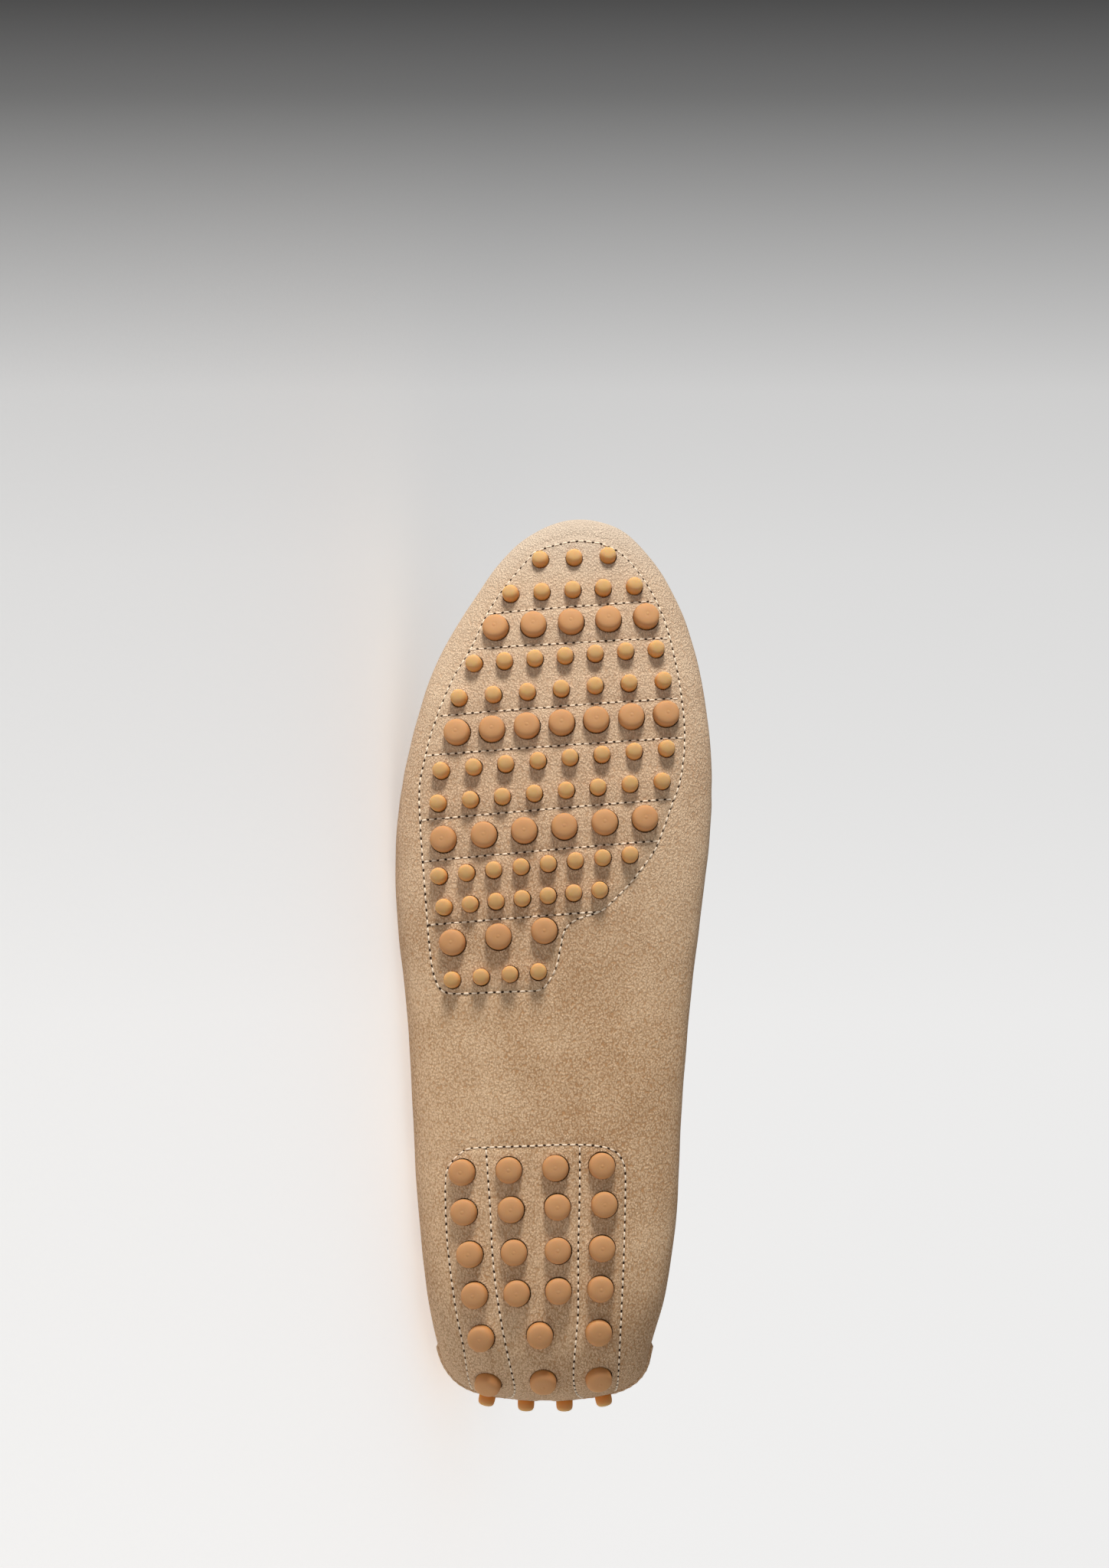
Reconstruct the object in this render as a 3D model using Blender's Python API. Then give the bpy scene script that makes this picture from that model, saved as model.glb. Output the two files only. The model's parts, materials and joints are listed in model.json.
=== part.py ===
"""Driving moccasin for the right foot, lying on its outer side.

The shoe is drawn standing: x runs to the outer side, y from the heel's back to the toe, z up from the
underside of the suede bottom. It is then laid down on the facet of its outer side that carries it.
"""

import math

import bmesh
import bpy
import numpy as np
from mathutils import Matrix, Vector
from mathutils.geometry import intersect_point_tri

MM = 0.001

# Driving dimensions of the last
LENGTH = 285.0 * MM
BALL_WIDTH = 103.5 * MM
INSTEP_HEIGHT = 72.5 * MM
SIDE_HEIGHT = 20.0 * MM
TOE_SPRING = 20.0 * MM
HEEL_LIFT = 26.0 * MM
RIDGE_SHIFT = 3.0 * MM

# Layers, from the outside in
WALL = 2.0 * MM
GAP = 0.3 * MM
PLATE_THICKNESS = 1.5 * MM
PLATE_CLEARANCE = 0.45 * MM
INSOLE_THICKNESS = 2.5 * MM
INSOLE_CLEARANCE = 0.45 * MM
OVERLAY_THICKNESS = 1.4 * MM
OVERLAY_CLEARANCE = 0.45 * MM

# Rubber studs, which stand out through the suede
STUD_HEIGHT = 4.0 * MM
LARGE_STUD_DIAMETER = 8.5 * MM
SMALL_STUD_DIAMETER = 5.4 * MM
LARGE_STUD_CHAMFER = 1.0 * MM
SMALL_STUD_TAPER = 0.4 * MM
STUD_CLEARANCE = 0.35 * MM
LARGE_STUD_SIDES = 8
SMALL_STUD_SIDES = 6

# Collar, apron and seam
COLLAR_HEIGHT = 57.0 * MM
TOPLINE_DIAMETER = 3.2 * MM
APRON_WIDTH = 60.0 * MM
SEAM_WIDTH = 3.4 * MM
SEAM_HEIGHT = 2.7 * MM
TONGUE_LENGTH = 20.0 * MM
TONGUE_TAPER = 0.14
TONGUE_ROWS = (1.0, 0.8, 0.5, 0.25)
# Heel counter: its reach round the heel from the middle of the back, the axis that it turns round as
# a share of LENGTH, and the heights of its edges as shares of COLLAR_HEIGHT.
COUNTER_REACH = math.radians(62.0)
COUNTER_AXIS = 0.13
COUNTER_TOP = 0.86
COUNTER_MIDDLE = 0.52
COUNTER_END = 0.27
COUNTER_SWEEP = 2.2

# Mesh density
RINGS = 28
RING_POINTS = 28
END = 1e-6

# How squarely a facet of the hull faces the outer side before the shoe may lie on it
OUTER_SIDE_COSINE = 0.6

# Sections of the last, heel to toe.
# along: share of LENGTH. outer, inner: shares of BALL_WIDTH, from the axis of the sole.
# lift: underside, share of HEEL_LIFT behind the waist and of TOE_SPRING in front of it.
# side: height of the widest line, share of SIDE_HEIGHT. crown: share of INSTEP_HEIGHT.
# corner, arch: exponents of the lower and upper half, higher is squarer.
# lean: how far the wall leans in for each length that it rises above the widest line.
SECTION_COLUMNS = ("along", "outer", "inner", "lift", "side", "crown", "corner", "arch", "lean")
SECTIONS = [
    (0.0000, -0.005, -0.005, 1.000, 1.300, 0.359, 2.2, 2.20, 0.00),
    (0.0035, 0.135, -0.140, 0.712, 1.280, 0.497, 2.2, 2.20, 0.00),
    (0.0140, 0.242, -0.249, 0.442, 1.200, 0.710, 2.3, 2.30, 0.03),
    (0.0333, 0.302, -0.307, 0.231, 1.080, 0.841, 2.5, 2.60, 0.10),
    (0.0649, 0.335, -0.331, 0.088, 0.950, 0.903, 2.8, 3.20, 0.20),
    (0.1263, 0.371, -0.377, 0.000, 0.850, 0.938, 3.0, 4.20, 0.28),
    (0.2175, 0.397, -0.412, 0.000, 0.800, 0.945, 3.0, 4.60, 0.31),
    (0.3333, 0.415, -0.429, 0.000, 0.780, 0.945, 3.0, 4.40, 0.32),
    (0.4456, 0.436, -0.452, 0.000, 0.780, 0.979, 3.0, 3.90, 0.32),
    (0.5439, 0.463, -0.486, 0.005, 0.790, 1.000, 3.0, 3.40, 0.31),
    (0.6316, 0.471, -0.517, 0.050, 0.820, 0.931, 3.0, 3.00, 0.27),
    (0.7018, 0.452, -0.525, 0.140, 0.880, 0.834, 3.0, 2.60, 0.18),
    (0.7719, 0.410, -0.514, 0.270, 0.990, 0.752, 3.0, 2.30, 0.08),
    (0.8386, 0.350, -0.486, 0.435, 1.130, 0.690, 2.9, 2.10, 0.02),
    (0.8947, 0.267, -0.442, 0.610, 1.270, 0.648, 2.8, 2.05, 0.00),
    (0.9386, 0.186, -0.385, 0.780, 1.370, 0.607, 2.6, 2.10, 0.00),
    (0.9684, 0.106, -0.315, 0.945, 1.425, 0.559, 2.4, 2.15, 0.00),
    (0.9881, 0.021, -0.245, 1.115, 1.440, 0.503, 2.3, 2.20, 0.00),
    (0.9975, -0.048, -0.169, 1.265, 1.450, 0.448, 2.2, 2.20, 0.00),
    (1.0000, -0.107, -0.107, 1.450, 1.450, 0.400, 2.2, 2.20, 0.00),
]

# Topline of the collar. along: share of LENGTH. height: share of COLLAR_HEIGHT.
TOPLINE_COLUMNS = ("along", "height")
TOPLINE = [
    (-0.06, 1.01),
    (0.02, 1.00),
    (0.12, 0.93),
    (0.27, 0.86),
    (0.40, 0.90),
    (0.49, 1.02),
    (0.55, 1.20),
    (0.585, 1.45),
    (0.600, 1.75),
]

# Edge of the apron, from the throat to its front. along: share of LENGTH. half: share of APRON_WIDTH.
APRON_COLUMNS = ("along", "half")
APRON = [
    (0.572, 0.46),
    (0.66, 0.475),
    (0.75, 0.47),
    (0.82, 0.425),
    (0.87, 0.335),
    (0.895, 0.22),
    (0.907, 0.08),
]

# Rows of studs, toe first: size, count, then outer_along, outer_across, inner_along and inner_across,
# the row's two ends as shares of LENGTH along the sole and of BALL_WIDTH across it.
FOREPART_STUDS = [
    ("small", 3, 0.9589, 0.014, 0.9635, -0.196),
    ("small", 5, 0.9189, 0.107, 0.9281, -0.279),
    ("large", 5, 0.8793, 0.155, 0.8926, -0.316),
    ("small", 7, 0.8372, 0.222, 0.8544, -0.346),
    ("small", 7, 0.7975, 0.268, 0.8179, -0.368),
    ("large", 7, 0.7579, 0.275, 0.7793, -0.377),
    ("small", 8, 0.7140, 0.323, 0.7393, -0.377),
    ("small", 8, 0.6768, 0.332, 0.7018, -0.363),
    ("large", 6, 0.6358, 0.316, 0.6593, -0.310),
    ("small", 8, 0.5940, 0.329, 0.6179, -0.263),
    ("small", 7, 0.5589, 0.313, 0.5779, -0.169),
    ("large", 3, 0.5189, 0.287, 0.5319, 0.003),
    ("small", 4, 0.4768, 0.287, 0.4860, 0.021),
]
HEEL_STUDS = [
    ("large", 4, 0.2600, 0.256, 0.2674, -0.175),
    ("large", 4, 0.2154, 0.250, 0.2239, -0.182),
    ("large", 4, 0.1681, 0.232, 0.1747, -0.175),
    ("large", 4, 0.1228, 0.217, 0.1298, -0.170),
    ("large", 3, 0.0751, 0.197, 0.0814, -0.164),
    ("large", 3, 0.0242, 0.176, 0.0298, -0.164),
]
# The row on the heel's back. Span: share of BALL_WIDTH. Height: share of SIDE_HEIGHT.
BACK_STUD_COUNT = 4
BACK_STUD_SPAN = 0.36
BACK_STUD_HEIGHT = 1.22

# Edges of the rubber plates. along: share of LENGTH. outer, inner: shares of BALL_WIDTH.
PLATE_COLUMNS = ("along", "outer", "inner")
FOREPART_PLATE = [
    (0.460, 0.335, -0.030),
    (0.500, 0.348, -0.052),
    (0.545, 0.366, -0.150),
    (0.590, 0.376, -0.295),
    (0.640, 0.378, -0.385),
    (0.700, 0.366, -0.422),
    (0.760, 0.338, -0.425),
    (0.820, 0.298, -0.402),
    (0.870, 0.240, -0.372),
    (0.910, 0.178, -0.335),
    (0.945, 0.110, -0.288),
    (0.973, 0.035, -0.215),
]
# The heel plate rolls up the back. turn: degrees back from straight down.
HEEL_PLATE_COLUMNS = ("along", "turn", "outer", "inner")
HEEL_PLATE = [
    (0.288, 0.0, 0.300, -0.225),
    (0.230, 0.0, 0.315, -0.250),
    (0.175, 0.0, 0.305, -0.248),
    (0.130, 0.0, 0.290, -0.244),
    (0.105, 8.0, 0.282, -0.240),
    (0.105, 26.0, 0.272, -0.236),
    (0.105, 45.0, 0.262, -0.232),
    (0.105, 64.0, 0.250, -0.228),
    (0.105, 83.0, 0.242, -0.225),
    (0.105, 103.0, 0.235, -0.222),
]
# Height of the centre that the plate rolls round, share of SIDE_HEIGHT.
HEEL_CENTRE_HEIGHT = 1.15

# Edge of the insole, as plates.
INSOLE = [
    (0.050, 0.190, -0.190),
    (0.100, 0.268, -0.270),
    (0.180, 0.300, -0.312),
    (0.300, 0.322, -0.335),
    (0.430, 0.345, -0.358),
    (0.540, 0.372, -0.392),
    (0.630, 0.380, -0.425),
    (0.710, 0.358, -0.432),
    (0.790, 0.310, -0.415),
    (0.860, 0.240, -0.380),
    (0.915, 0.150, -0.325),
    (0.950, 0.050, -0.250),
]

SUEDE = (0.52, 0.36, 0.22)
SUEDE_DEEP = (0.44, 0.29, 0.17)
LINING = (0.60, 0.47, 0.33)
RUBBER = (0.60, 0.33, 0.12)


def clear_scene():
    for item in list(bpy.data.objects):
        bpy.data.objects.remove(item, do_unlink=True)


def column(table, columns, name):
    return np.array([row[columns.index(name)] for row in table], dtype=float)


def spline(values, at):
    """Catmull-Rom curve through values, read at fractional row numbers; ends run straight on."""
    values = np.asarray(values, dtype=float)
    padded = np.concatenate([[2 * values[0] - values[1]], values, [2 * values[-1] - values[-2]]])
    row = np.clip(np.floor(at).astype(int), 0, len(values) - 2)
    t = at - row
    a, b, c, d = (padded[row + k] for k in range(4))
    return 0.5 * (2 * b + (c - a) * t + (2 * a - 5 * b + 4 * c - d) * t**2 + (3 * b - a - 3 * c + d) * t**3)


def closed_spline(low, high, at):
    """The curve of one edge of a form whose two edges meet at both ends, so that it ends round."""
    low, high = np.asarray(low, dtype=float), np.asarray(high, dtype=float)
    padded = np.concatenate([[high[1]], low, [high[-2]]])
    row = np.clip(np.floor(at).astype(int), 0, len(low) - 2)
    t = at - row
    a, b, c, d = (padded[row + k] for k in range(4))
    return 0.5 * (2 * b + (c - a) * t + (2 * a - 5 * b + 4 * c - d) * t**2 + (3 * b - a - 3 * c + d) * t**3)


def smooth_table(table, columns, count=80):
    """The table's curves, sampled: {column: values}."""
    at = np.linspace(0, len(table) - 1, count)
    return {name: spline(column(table, columns, name), at) for name in columns}


class Last:
    """The last's form: sections along y, and the surface between them."""

    def __init__(self):
        raw = {name: column(SECTIONS, SECTION_COLUMNS, name) for name in SECTION_COLUMNS}
        along = raw["along"] * LENGTH
        under = raw["lift"] * np.where(raw["along"] < 0.5, HEEL_LIFT, TOE_SPRING)
        side = raw["side"] * SIDE_HEIGHT
        crown = raw["crown"] * INSTEP_HEIGHT
        for values in (under, crown):
            values[0], values[-1] = side[0], side[-1]
        outer, inner = raw["outer"] * BALL_WIDTH, raw["inner"] * BALL_WIDTH
        self.rows = len(SECTIONS)
        at = np.linspace(0, self.rows - 1, 900)
        self.at = at
        self.along = np.maximum.accumulate(closed_spline(along, along, at))
        self.outer = closed_spline(outer, inner, at)
        self.inner = closed_spline(inner, outer, at)
        self.under = closed_spline(under, crown, at)
        self.crown = closed_spline(crown, under, at)
        self.side = closed_spline(side, side, at)
        self.corner, self.arch, self.lean = (spline(raw[n], at) for n in ("corner", "arch", "lean"))

    def read(self, name, y):
        return float(np.interp(y, self.along, getattr(self, name)))

    def ridge(self, y):
        """x of the crown's ridge, and of the sole's middle."""
        middle = (self.read("outer", y) + self.read("inner", y)) / 2
        return middle - RIDGE_SHIFT * math.sin(math.pi * min(max(y / LENGTH, 0.0), 1.0)), middle

    def quarter(self, y, outer_side, upper_side):
        """Centre x, half width, height, exponent and lean of a quarter of the section at y."""
        centre = self.ridge(y)[0 if upper_side else 1]
        half = self.read("outer", y) - centre if outer_side else centre - self.read("inner", y)
        side = self.read("side", y)
        if upper_side:
            return centre, half, self.read("crown", y) - side, self.read("arch", y), self.read("lean", y)
        return centre, half, side - self.read("under", y), self.read("corner", y), 0.0

    def measure(self, point):
        """Below zero inside the last, above zero outside."""
        x, y, z = point
        if y <= 0.0 or y >= LENGTH:
            return 1.0
        rise = z - self.read("side", y)
        upper_side = rise > 0.0
        outer_side = x > self.ridge(y)[0 if upper_side else 1]
        centre, half, tall, power, lean = self.quarter(y, outer_side, upper_side)
        half = max(half - lean * abs(rise), END)
        return (abs(x - centre) / half) ** power + (abs(rise) / max(tall, END)) ** power - 1.0

    def half_width(self, y, z, outer_side):
        """Width from the ridge to the wall at height z above the widest line."""
        _, half, tall, power, lean = self.quarter(y, outer_side, True)
        rise = z - self.read("side", y)
        return (half - lean * rise) * max(1.0 - (rise / tall) ** power, 0.0) ** (1 / power)

    def normal(self, point):
        step = 0.15 * MM
        gradient = Vector()
        for axis in range(3):
            ahead, behind = Vector(point), Vector(point)
            ahead[axis] += step
            behind[axis] -= step
            gradient[axis] = self.measure(ahead) - self.measure(behind)
        return gradient.normalized()

    def hit(self, start, direction):
        """Where a ray from a point inside leaves the last."""
        near, far = 0.0, LENGTH
        for _ in range(44):
            half = (near + far) / 2
            if self.measure(start + direction * half) < 0.0:
                near = half
            else:
                far = half
        return start + direction * near

    def skin(self, start, direction, depth):
        """The point on the ray at a depth under the surface; a negative depth lies outside."""
        point = self.hit(start, direction)
        return point - self.normal(point) * depth

    def below(self, x, y, depth):
        return self.skin(Vector((x, y, self.read("side", y))), Vector((0, 0, -1)), depth)

    def above(self, x, y, depth):
        return self.skin(Vector((x, y, self.read("side", y))), Vector((0, 0, 1)), depth)


LAST = Last()


def topline_height(y):
    curve = smooth_table(TOPLINE, TOPLINE_COLUMNS)
    return float(np.interp(y / LENGTH, curve["along"], curve["height"])) * COLLAR_HEIGHT


def new_object(name, mesh, colour, roughness=0.85, metallic=0.0):
    material = bpy.data.materials.new(name)
    material.use_nodes = True
    shader = material.node_tree.nodes["Principled BSDF"]
    shader.inputs["Base Color"].default_value = (*colour, 1.0)
    shader.inputs["Roughness"].default_value = roughness
    shader.inputs["Metallic"].default_value = metallic
    mesh.materials.append(material)
    item = bpy.data.objects.new(name, mesh)
    bpy.context.scene.collection.objects.link(item)
    return item


def mesh_from(name, points, faces, smooth=True):
    """A closed mesh with its faces turned outwards."""
    mesh = bpy.data.meshes.new(name)
    mesh.from_pydata([tuple(p) for p in points], [], faces)
    shell = bmesh.new()
    shell.from_mesh(mesh)
    bmesh.ops.recalc_face_normals(shell, faces=shell.faces)
    shell.to_mesh(mesh)
    shell.free()
    if smooth:
        mesh.shade_smooth()
        mesh.set_sharp_from_angle(angle=math.radians(40))
    return mesh


def sheet_mesh(name, outside, inside):
    """A closed sheet between two grids of points of the same shape."""
    rows, across = len(outside), len(outside[0])
    points = [p for row in outside for p in row] + [p for row in inside for p in row]
    back = rows * across

    def number(i, j, layer=0):
        return layer * back + i * across + j

    faces = []
    for i in range(rows - 1):
        for j in range(across - 1):
            faces.append((number(i, j), number(i, j + 1), number(i + 1, j + 1), number(i + 1, j)))
            faces.append((number(i, j, 1), number(i + 1, j, 1), number(i + 1, j + 1, 1), number(i, j + 1, 1)))
    for i in range(rows - 1):
        for j in (0, across - 1):
            faces.append((number(i, j), number(i + 1, j), number(i + 1, j, 1), number(i, j, 1)))
    for j in range(across - 1):
        for i in (0, rows - 1):
            faces.append((number(i, j), number(i, j + 1), number(i, j + 1, 1), number(i, j, 1)))
    return mesh_from(name, points, faces)


def swept_mesh(name, rings):
    """A closed bar through rings of points, with its ends filled."""
    size = len(rings[0])
    points = [p for ring in rings for p in ring]
    faces = []
    for i in range(len(rings) - 1):
        for j in range(size):
            k = (j + 1) % size
            faces.append((i * size + j, i * size + k, (i + 1) * size + k, (i + 1) * size + j))
    faces.append(tuple(range(size)))
    faces.append(tuple((len(rings) - 1) * size + j for j in range(size)))
    return mesh_from(name, points, faces)


def last_mesh(name, depth):
    """The whole closed last at a depth under its surface."""
    rows = LAST.rows - 1
    stations = [rows * i / (RINGS - 1) for i in range(RINGS)]
    points, rings = [], []
    for at in stations[1:-1]:
        y = float(np.interp(at, LAST.at, LAST.along))
        side = LAST.read("side", y)
        ring = []
        for k in range(RING_POINTS):
            angle = 2 * math.pi * k / RING_POINTS
            c, s = math.cos(angle), math.sin(angle)
            centre, half, tall, power, lean = LAST.quarter(y, c > 0, s > 0)
            rise = tall * abs(s) ** (2 / power)
            aside = (half - lean * rise) * abs(c) ** (2 / power)
            point = Vector((centre + math.copysign(aside, c), y, side + math.copysign(rise, s)))
            if abs(s) < END:
                point = Vector((LAST.read("outer" if c > 0 else "inner", y), y, side))
            ring.append(len(points))
            points.append(point - LAST.normal(point) * depth)
        rings.append(ring)
    faces = []
    for first, second in zip(rings, rings[1:]):
        for k in range(RING_POINTS):
            n = (k + 1) % RING_POINTS
            faces.append((first[k], first[n], second[n], second[k]))
    ends = ((rings[0], 0.0, depth), (rings[-1], LENGTH, -depth))
    for ring, y, shift in ends:
        pole = len(points)
        points.append(Vector((LAST.ridge(y)[1], y + shift, LAST.read("side", y))))
        faces += [(pole, ring[k], ring[(k + 1) % RING_POINTS]) for k in range(RING_POINTS)]
    return mesh_from(name, points, faces)


def frame_at(point, axis):
    """A matrix that stands +Z along axis at point, with its x along the shoe's width."""
    z = Vector(axis).normalized()
    x = (Vector((1, 0, 0)) - z * z.x).normalized()
    y = z.cross(x)
    matrix = Matrix((x, y, z)).transposed().to_4x4()
    matrix.translation = point
    return matrix


def stud_places(rows):
    """Every stud of the rows: size, point on the last and the direction that it points in."""
    found = []
    for size, count, outer_along, outer_across, inner_along, inner_across in rows:
        for i in range(count):
            share = i / (count - 1)
            y = (outer_along + (inner_along - outer_along) * share) * LENGTH
            x = (outer_across + (inner_across - outer_across) * share) * BALL_WIDTH
            point = LAST.below(x, y, 0.0)
            found.append((size, point, LAST.normal(point)))
    return found


def back_stud_places():
    found = []
    for i in range(BACK_STUD_COUNT):
        x = (0.5 - i / (BACK_STUD_COUNT - 1)) * BACK_STUD_SPAN * BALL_WIDTH
        start = Vector((x, HEEL_PLATE[-1][0] * LENGTH, BACK_STUD_HEIGHT * SIDE_HEIGHT))
        point = LAST.hit(start, Vector((0, -1, 0)))
        found.append(("small", point, LAST.normal(point)))
    return found


def stud_rings(size):
    """Radius and height of a stud's rings, from its root in the plate to its tip."""
    root = -(WALL + PLATE_CLEARANCE + PLATE_THICKNESS / 2)
    if size == "large":
        radius = LARGE_STUD_DIAMETER / 2
        return [
            (radius, root),
            (radius, STUD_HEIGHT - LARGE_STUD_CHAMFER),
            (radius - LARGE_STUD_CHAMFER, STUD_HEIGHT),
        ]
    radius = SMALL_STUD_DIAMETER / 2
    return [(radius, root), (radius - SMALL_STUD_TAPER, STUD_HEIGHT)]


def stud_sides(size):
    return LARGE_STUD_SIDES if size == "large" else SMALL_STUD_SIDES


def posts_mesh(name, places, rings_of):
    """One mesh of separate posts, each through its own rings of radius and height."""
    joined = bmesh.new()
    for size, point, axis in places:
        frame = frame_at(point, axis)
        sides = stud_sides(size)
        rings = []
        for radius, height in rings_of(size):
            turns = [2 * math.pi * (k + 0.5) / sides for k in range(sides)]
            ring = [frame @ Vector((radius * math.cos(a), radius * math.sin(a), height)) for a in turns]
            rings.append([joined.verts.new(p) for p in ring])
        for lower, upper in zip(rings, rings[1:]):
            for k in range(sides):
                n = (k + 1) % sides
                joined.faces.new((lower[k], lower[n], upper[n], upper[k]))
        joined.faces.new(reversed(rings[0]))
        joined.faces.new(rings[-1])
    bmesh.ops.recalc_face_normals(joined, faces=joined.faces)
    mesh = bpy.data.meshes.new(name)
    joined.to_mesh(mesh)
    joined.free()
    return mesh


def hole_rings(size):
    diameter = LARGE_STUD_DIAMETER if size == "large" else SMALL_STUD_DIAMETER
    radius = diameter / 2 + STUD_CLEARANCE
    return [(radius, -2 * WALL), (radius, WALL)]


def guide(name, mesh):
    item = bpy.data.objects.new(name, mesh)
    bpy.context.scene.collection.objects.link(item)
    item.hide_render = True
    item.display_type = "WIRE"
    return item


def boolean(item, operation, other):
    modifier = item.modifiers.new(other.name, "BOOLEAN")
    modifier.operation = operation
    modifier.object = other
    modifier.solver = "EXACT"


def collar_cutter_mesh():
    """Everything above the topline, right across the shoe."""
    curve = smooth_table(TOPLINE, TOPLINE_COLUMNS, count=34)
    line = [(a * LENGTH, h * COLLAR_HEIGHT) for a, h in zip(curve["along"], curve["height"])]
    above = 2 * INSTEP_HEIGHT
    outline = line + [(line[-1][0], above), (line[0][0], above)]
    count = len(outline)
    points = [Vector((side * BALL_WIDTH, y, z)) for side in (-1, 1) for y, z in outline]
    faces = [tuple(range(count)), tuple(range(count, 2 * count))]
    faces += [(k, (k + 1) % count, count + (k + 1) % count, count + k) for k in range(count)]
    return mesh_from("collar_cutter", points, faces, smooth=False)


def upper(places):
    """Suede upper and bottom in one wrap, open at the collar and punched for the studs."""
    item = new_object("upper", last_mesh("upper", 0.0), SUEDE, 0.95)
    boolean(item, "DIFFERENCE", guide("foot_space", last_mesh("foot_space", WALL)))
    boolean(item, "DIFFERENCE", guide("collar_cutter", collar_cutter_mesh()))
    boolean(item, "DIFFERENCE", guide("stud_holes", posts_mesh("stud_holes", places, hole_rings)))
    return item


def plan_sheet(name, table, columns, depths, rows, across, reach=None):
    """A sheet under the foot between two depths, with its edge given in plan."""
    curve = smooth_table(table, columns, count=rows)
    sheets = []
    for depth in depths:
        grid = []
        for i in range(rows):
            y = curve["along"][i] * LENGTH
            outer, inner = curve["outer"][i] * BALL_WIDTH, curve["inner"][i] * BALL_WIDTH
            turn = math.radians(curve["turn"][i]) if "turn" in curve else 0.0
            line = []
            for j in range(across):
                x = outer + (inner - outer) * j / (across - 1)
                if reach:
                    start = Vector((x, y, reach))
                    line.append(LAST.skin(start, Vector((0, -math.sin(turn), -math.cos(turn))), depth))
                else:
                    line.append(LAST.below(x, y, depth))
            grid.append(line)
        sheets.append(grid)
    return sheet_mesh(name, *sheets)


def stud_plate(name, mesh, places):
    """A rubber plate with its studs moulded on."""
    item = new_object(name, mesh, RUBBER, 0.45)
    boolean(item, "UNION", guide(name + "_posts", posts_mesh(name + "_posts", places, stud_rings)))
    return item


def plate_depths():
    return (WALL + PLATE_CLEARANCE, WALL + PLATE_CLEARANCE + PLATE_THICKNESS)


def forepart_studs(places):
    mesh = plan_sheet("forepart_studs", FOREPART_PLATE, PLATE_COLUMNS, plate_depths(), 14, 8)
    return stud_plate("forepart_studs", mesh, places)


def heel_studs(places):
    reach = HEEL_CENTRE_HEIGHT * SIDE_HEIGHT
    mesh = plan_sheet("heel_studs", HEEL_PLATE, HEEL_PLATE_COLUMNS, plate_depths(), 13, 6, reach)
    return stud_plate("heel_studs", mesh, places)


def insole():
    top = plate_depths()[1] + INSOLE_CLEARANCE
    depths = (top, top + INSOLE_THICKNESS)
    return new_object("insole", plan_sheet("insole", INSOLE, PLATE_COLUMNS, depths, 15, 7), LINING, 0.9)


def apron_half(y):
    curve = smooth_table(APRON, APRON_COLUMNS)
    return float(np.interp(y / LENGTH, curve["along"], curve["half"])) * APRON_WIDTH


def seam_path(count=30):
    """Plan points along the apron's edge, outer side first, round its front and back."""
    curve = smooth_table(APRON, APRON_COLUMNS, count=count // 2)
    side = [(a * LENGTH, h * APRON_WIDTH) for a, h in zip(curve["along"], curve["half"])]
    tip = side[-1][0] + 0.25 * side[-1][1]
    outer = [(LAST.ridge(y)[0] + half, y) for y, half in side]
    inner = [(LAST.ridge(y)[0] - half, y) for y, half in reversed(side)]
    return outer + [(LAST.ridge(tip)[0], tip)] + inner


def beside_seam(shift):
    """The seam's path moved sideways in plan; a positive shift lies outside the apron."""
    path = seam_path()
    moved = []
    for i, (x, y) in enumerate(path):
        before, after = path[max(i - 1, 0)], path[min(i + 1, len(path) - 1)]
        run = Vector((after[0] - before[0], after[1] - before[1])).normalized()
        moved.append((x + run.y * shift, y - run.x * shift))
    return moved


def apron():
    """Plug of the vamp inside the seam, with the tongue in one piece behind the throat."""
    edge = beside_seam(-(SEAM_WIDTH / 2 + GAP))
    pairs = [(edge[i], edge[-1 - i]) for i in range(len(edge) // 2)]
    pairs = [(a, b) for a, b in pairs if a[0] - b[0] > SEAM_WIDTH]
    (outer, throat), (inner, _) = pairs[0]
    tongue = []
    for share in TONGUE_ROWS:
        half = (outer - inner) / 2 * (1.0 - TONGUE_TAPER * share**3)
        middle, y = (outer + inner) / 2, throat - TONGUE_LENGTH * share
        tongue.append(((middle + half, y), (middle - half, y)))
    across = 7
    sheets = []
    for depth in (-(OVERLAY_CLEARANCE + OVERLAY_THICKNESS), -OVERLAY_CLEARANCE):
        grid = []
        for a, b in tongue + pairs:
            shares = [j / (across - 1) for j in range(across)]
            grid.append([LAST.above(a[0] + (b[0] - a[0]) * t, a[1] + (b[1] - a[1]) * t, depth) for t in shares])
        sheets.append(grid)
    return new_object("apron", sheet_mesh("apron", *sheets), SUEDE_DEEP, 0.95)


def moccasin_seam():
    """Raised hand-sewn seam round the apron."""
    half = SEAM_WIDTH / 2
    profile = [
        (-half, OVERLAY_CLEARANCE),
        (-half, 0.62 * SEAM_HEIGHT),
        (-0.45 * half, SEAM_HEIGHT),
        (0.45 * half, SEAM_HEIGHT),
        (half, 0.62 * SEAM_HEIGHT),
        (half, OVERLAY_CLEARANCE),
    ]
    lines = [[LAST.above(x, y, -rise) for x, y in beside_seam(shift)] for shift, rise in profile]
    return new_object("moccasin_seam", swept_mesh("moccasin_seam", list(zip(*lines))), SUEDE_DEEP, 0.95)


def crossing(low, high):
    """y between low and high where the topline meets the crown."""
    rising = LAST.read("crown", high) > topline_height(high)
    for _ in range(40):
        half = (low + high) / 2
        if (LAST.read("crown", half) > topline_height(half)) == rising:
            high = half
        else:
            low = half
    return (low + high) / 2


def topline_up(y):
    """Direction square to the topline, seen from the side."""
    step = 1.0 * MM
    slope = (topline_height(y + step) - topline_height(y - step)) / (2 * step)
    return Vector((0, -slope, 1)).normalized()


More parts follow.
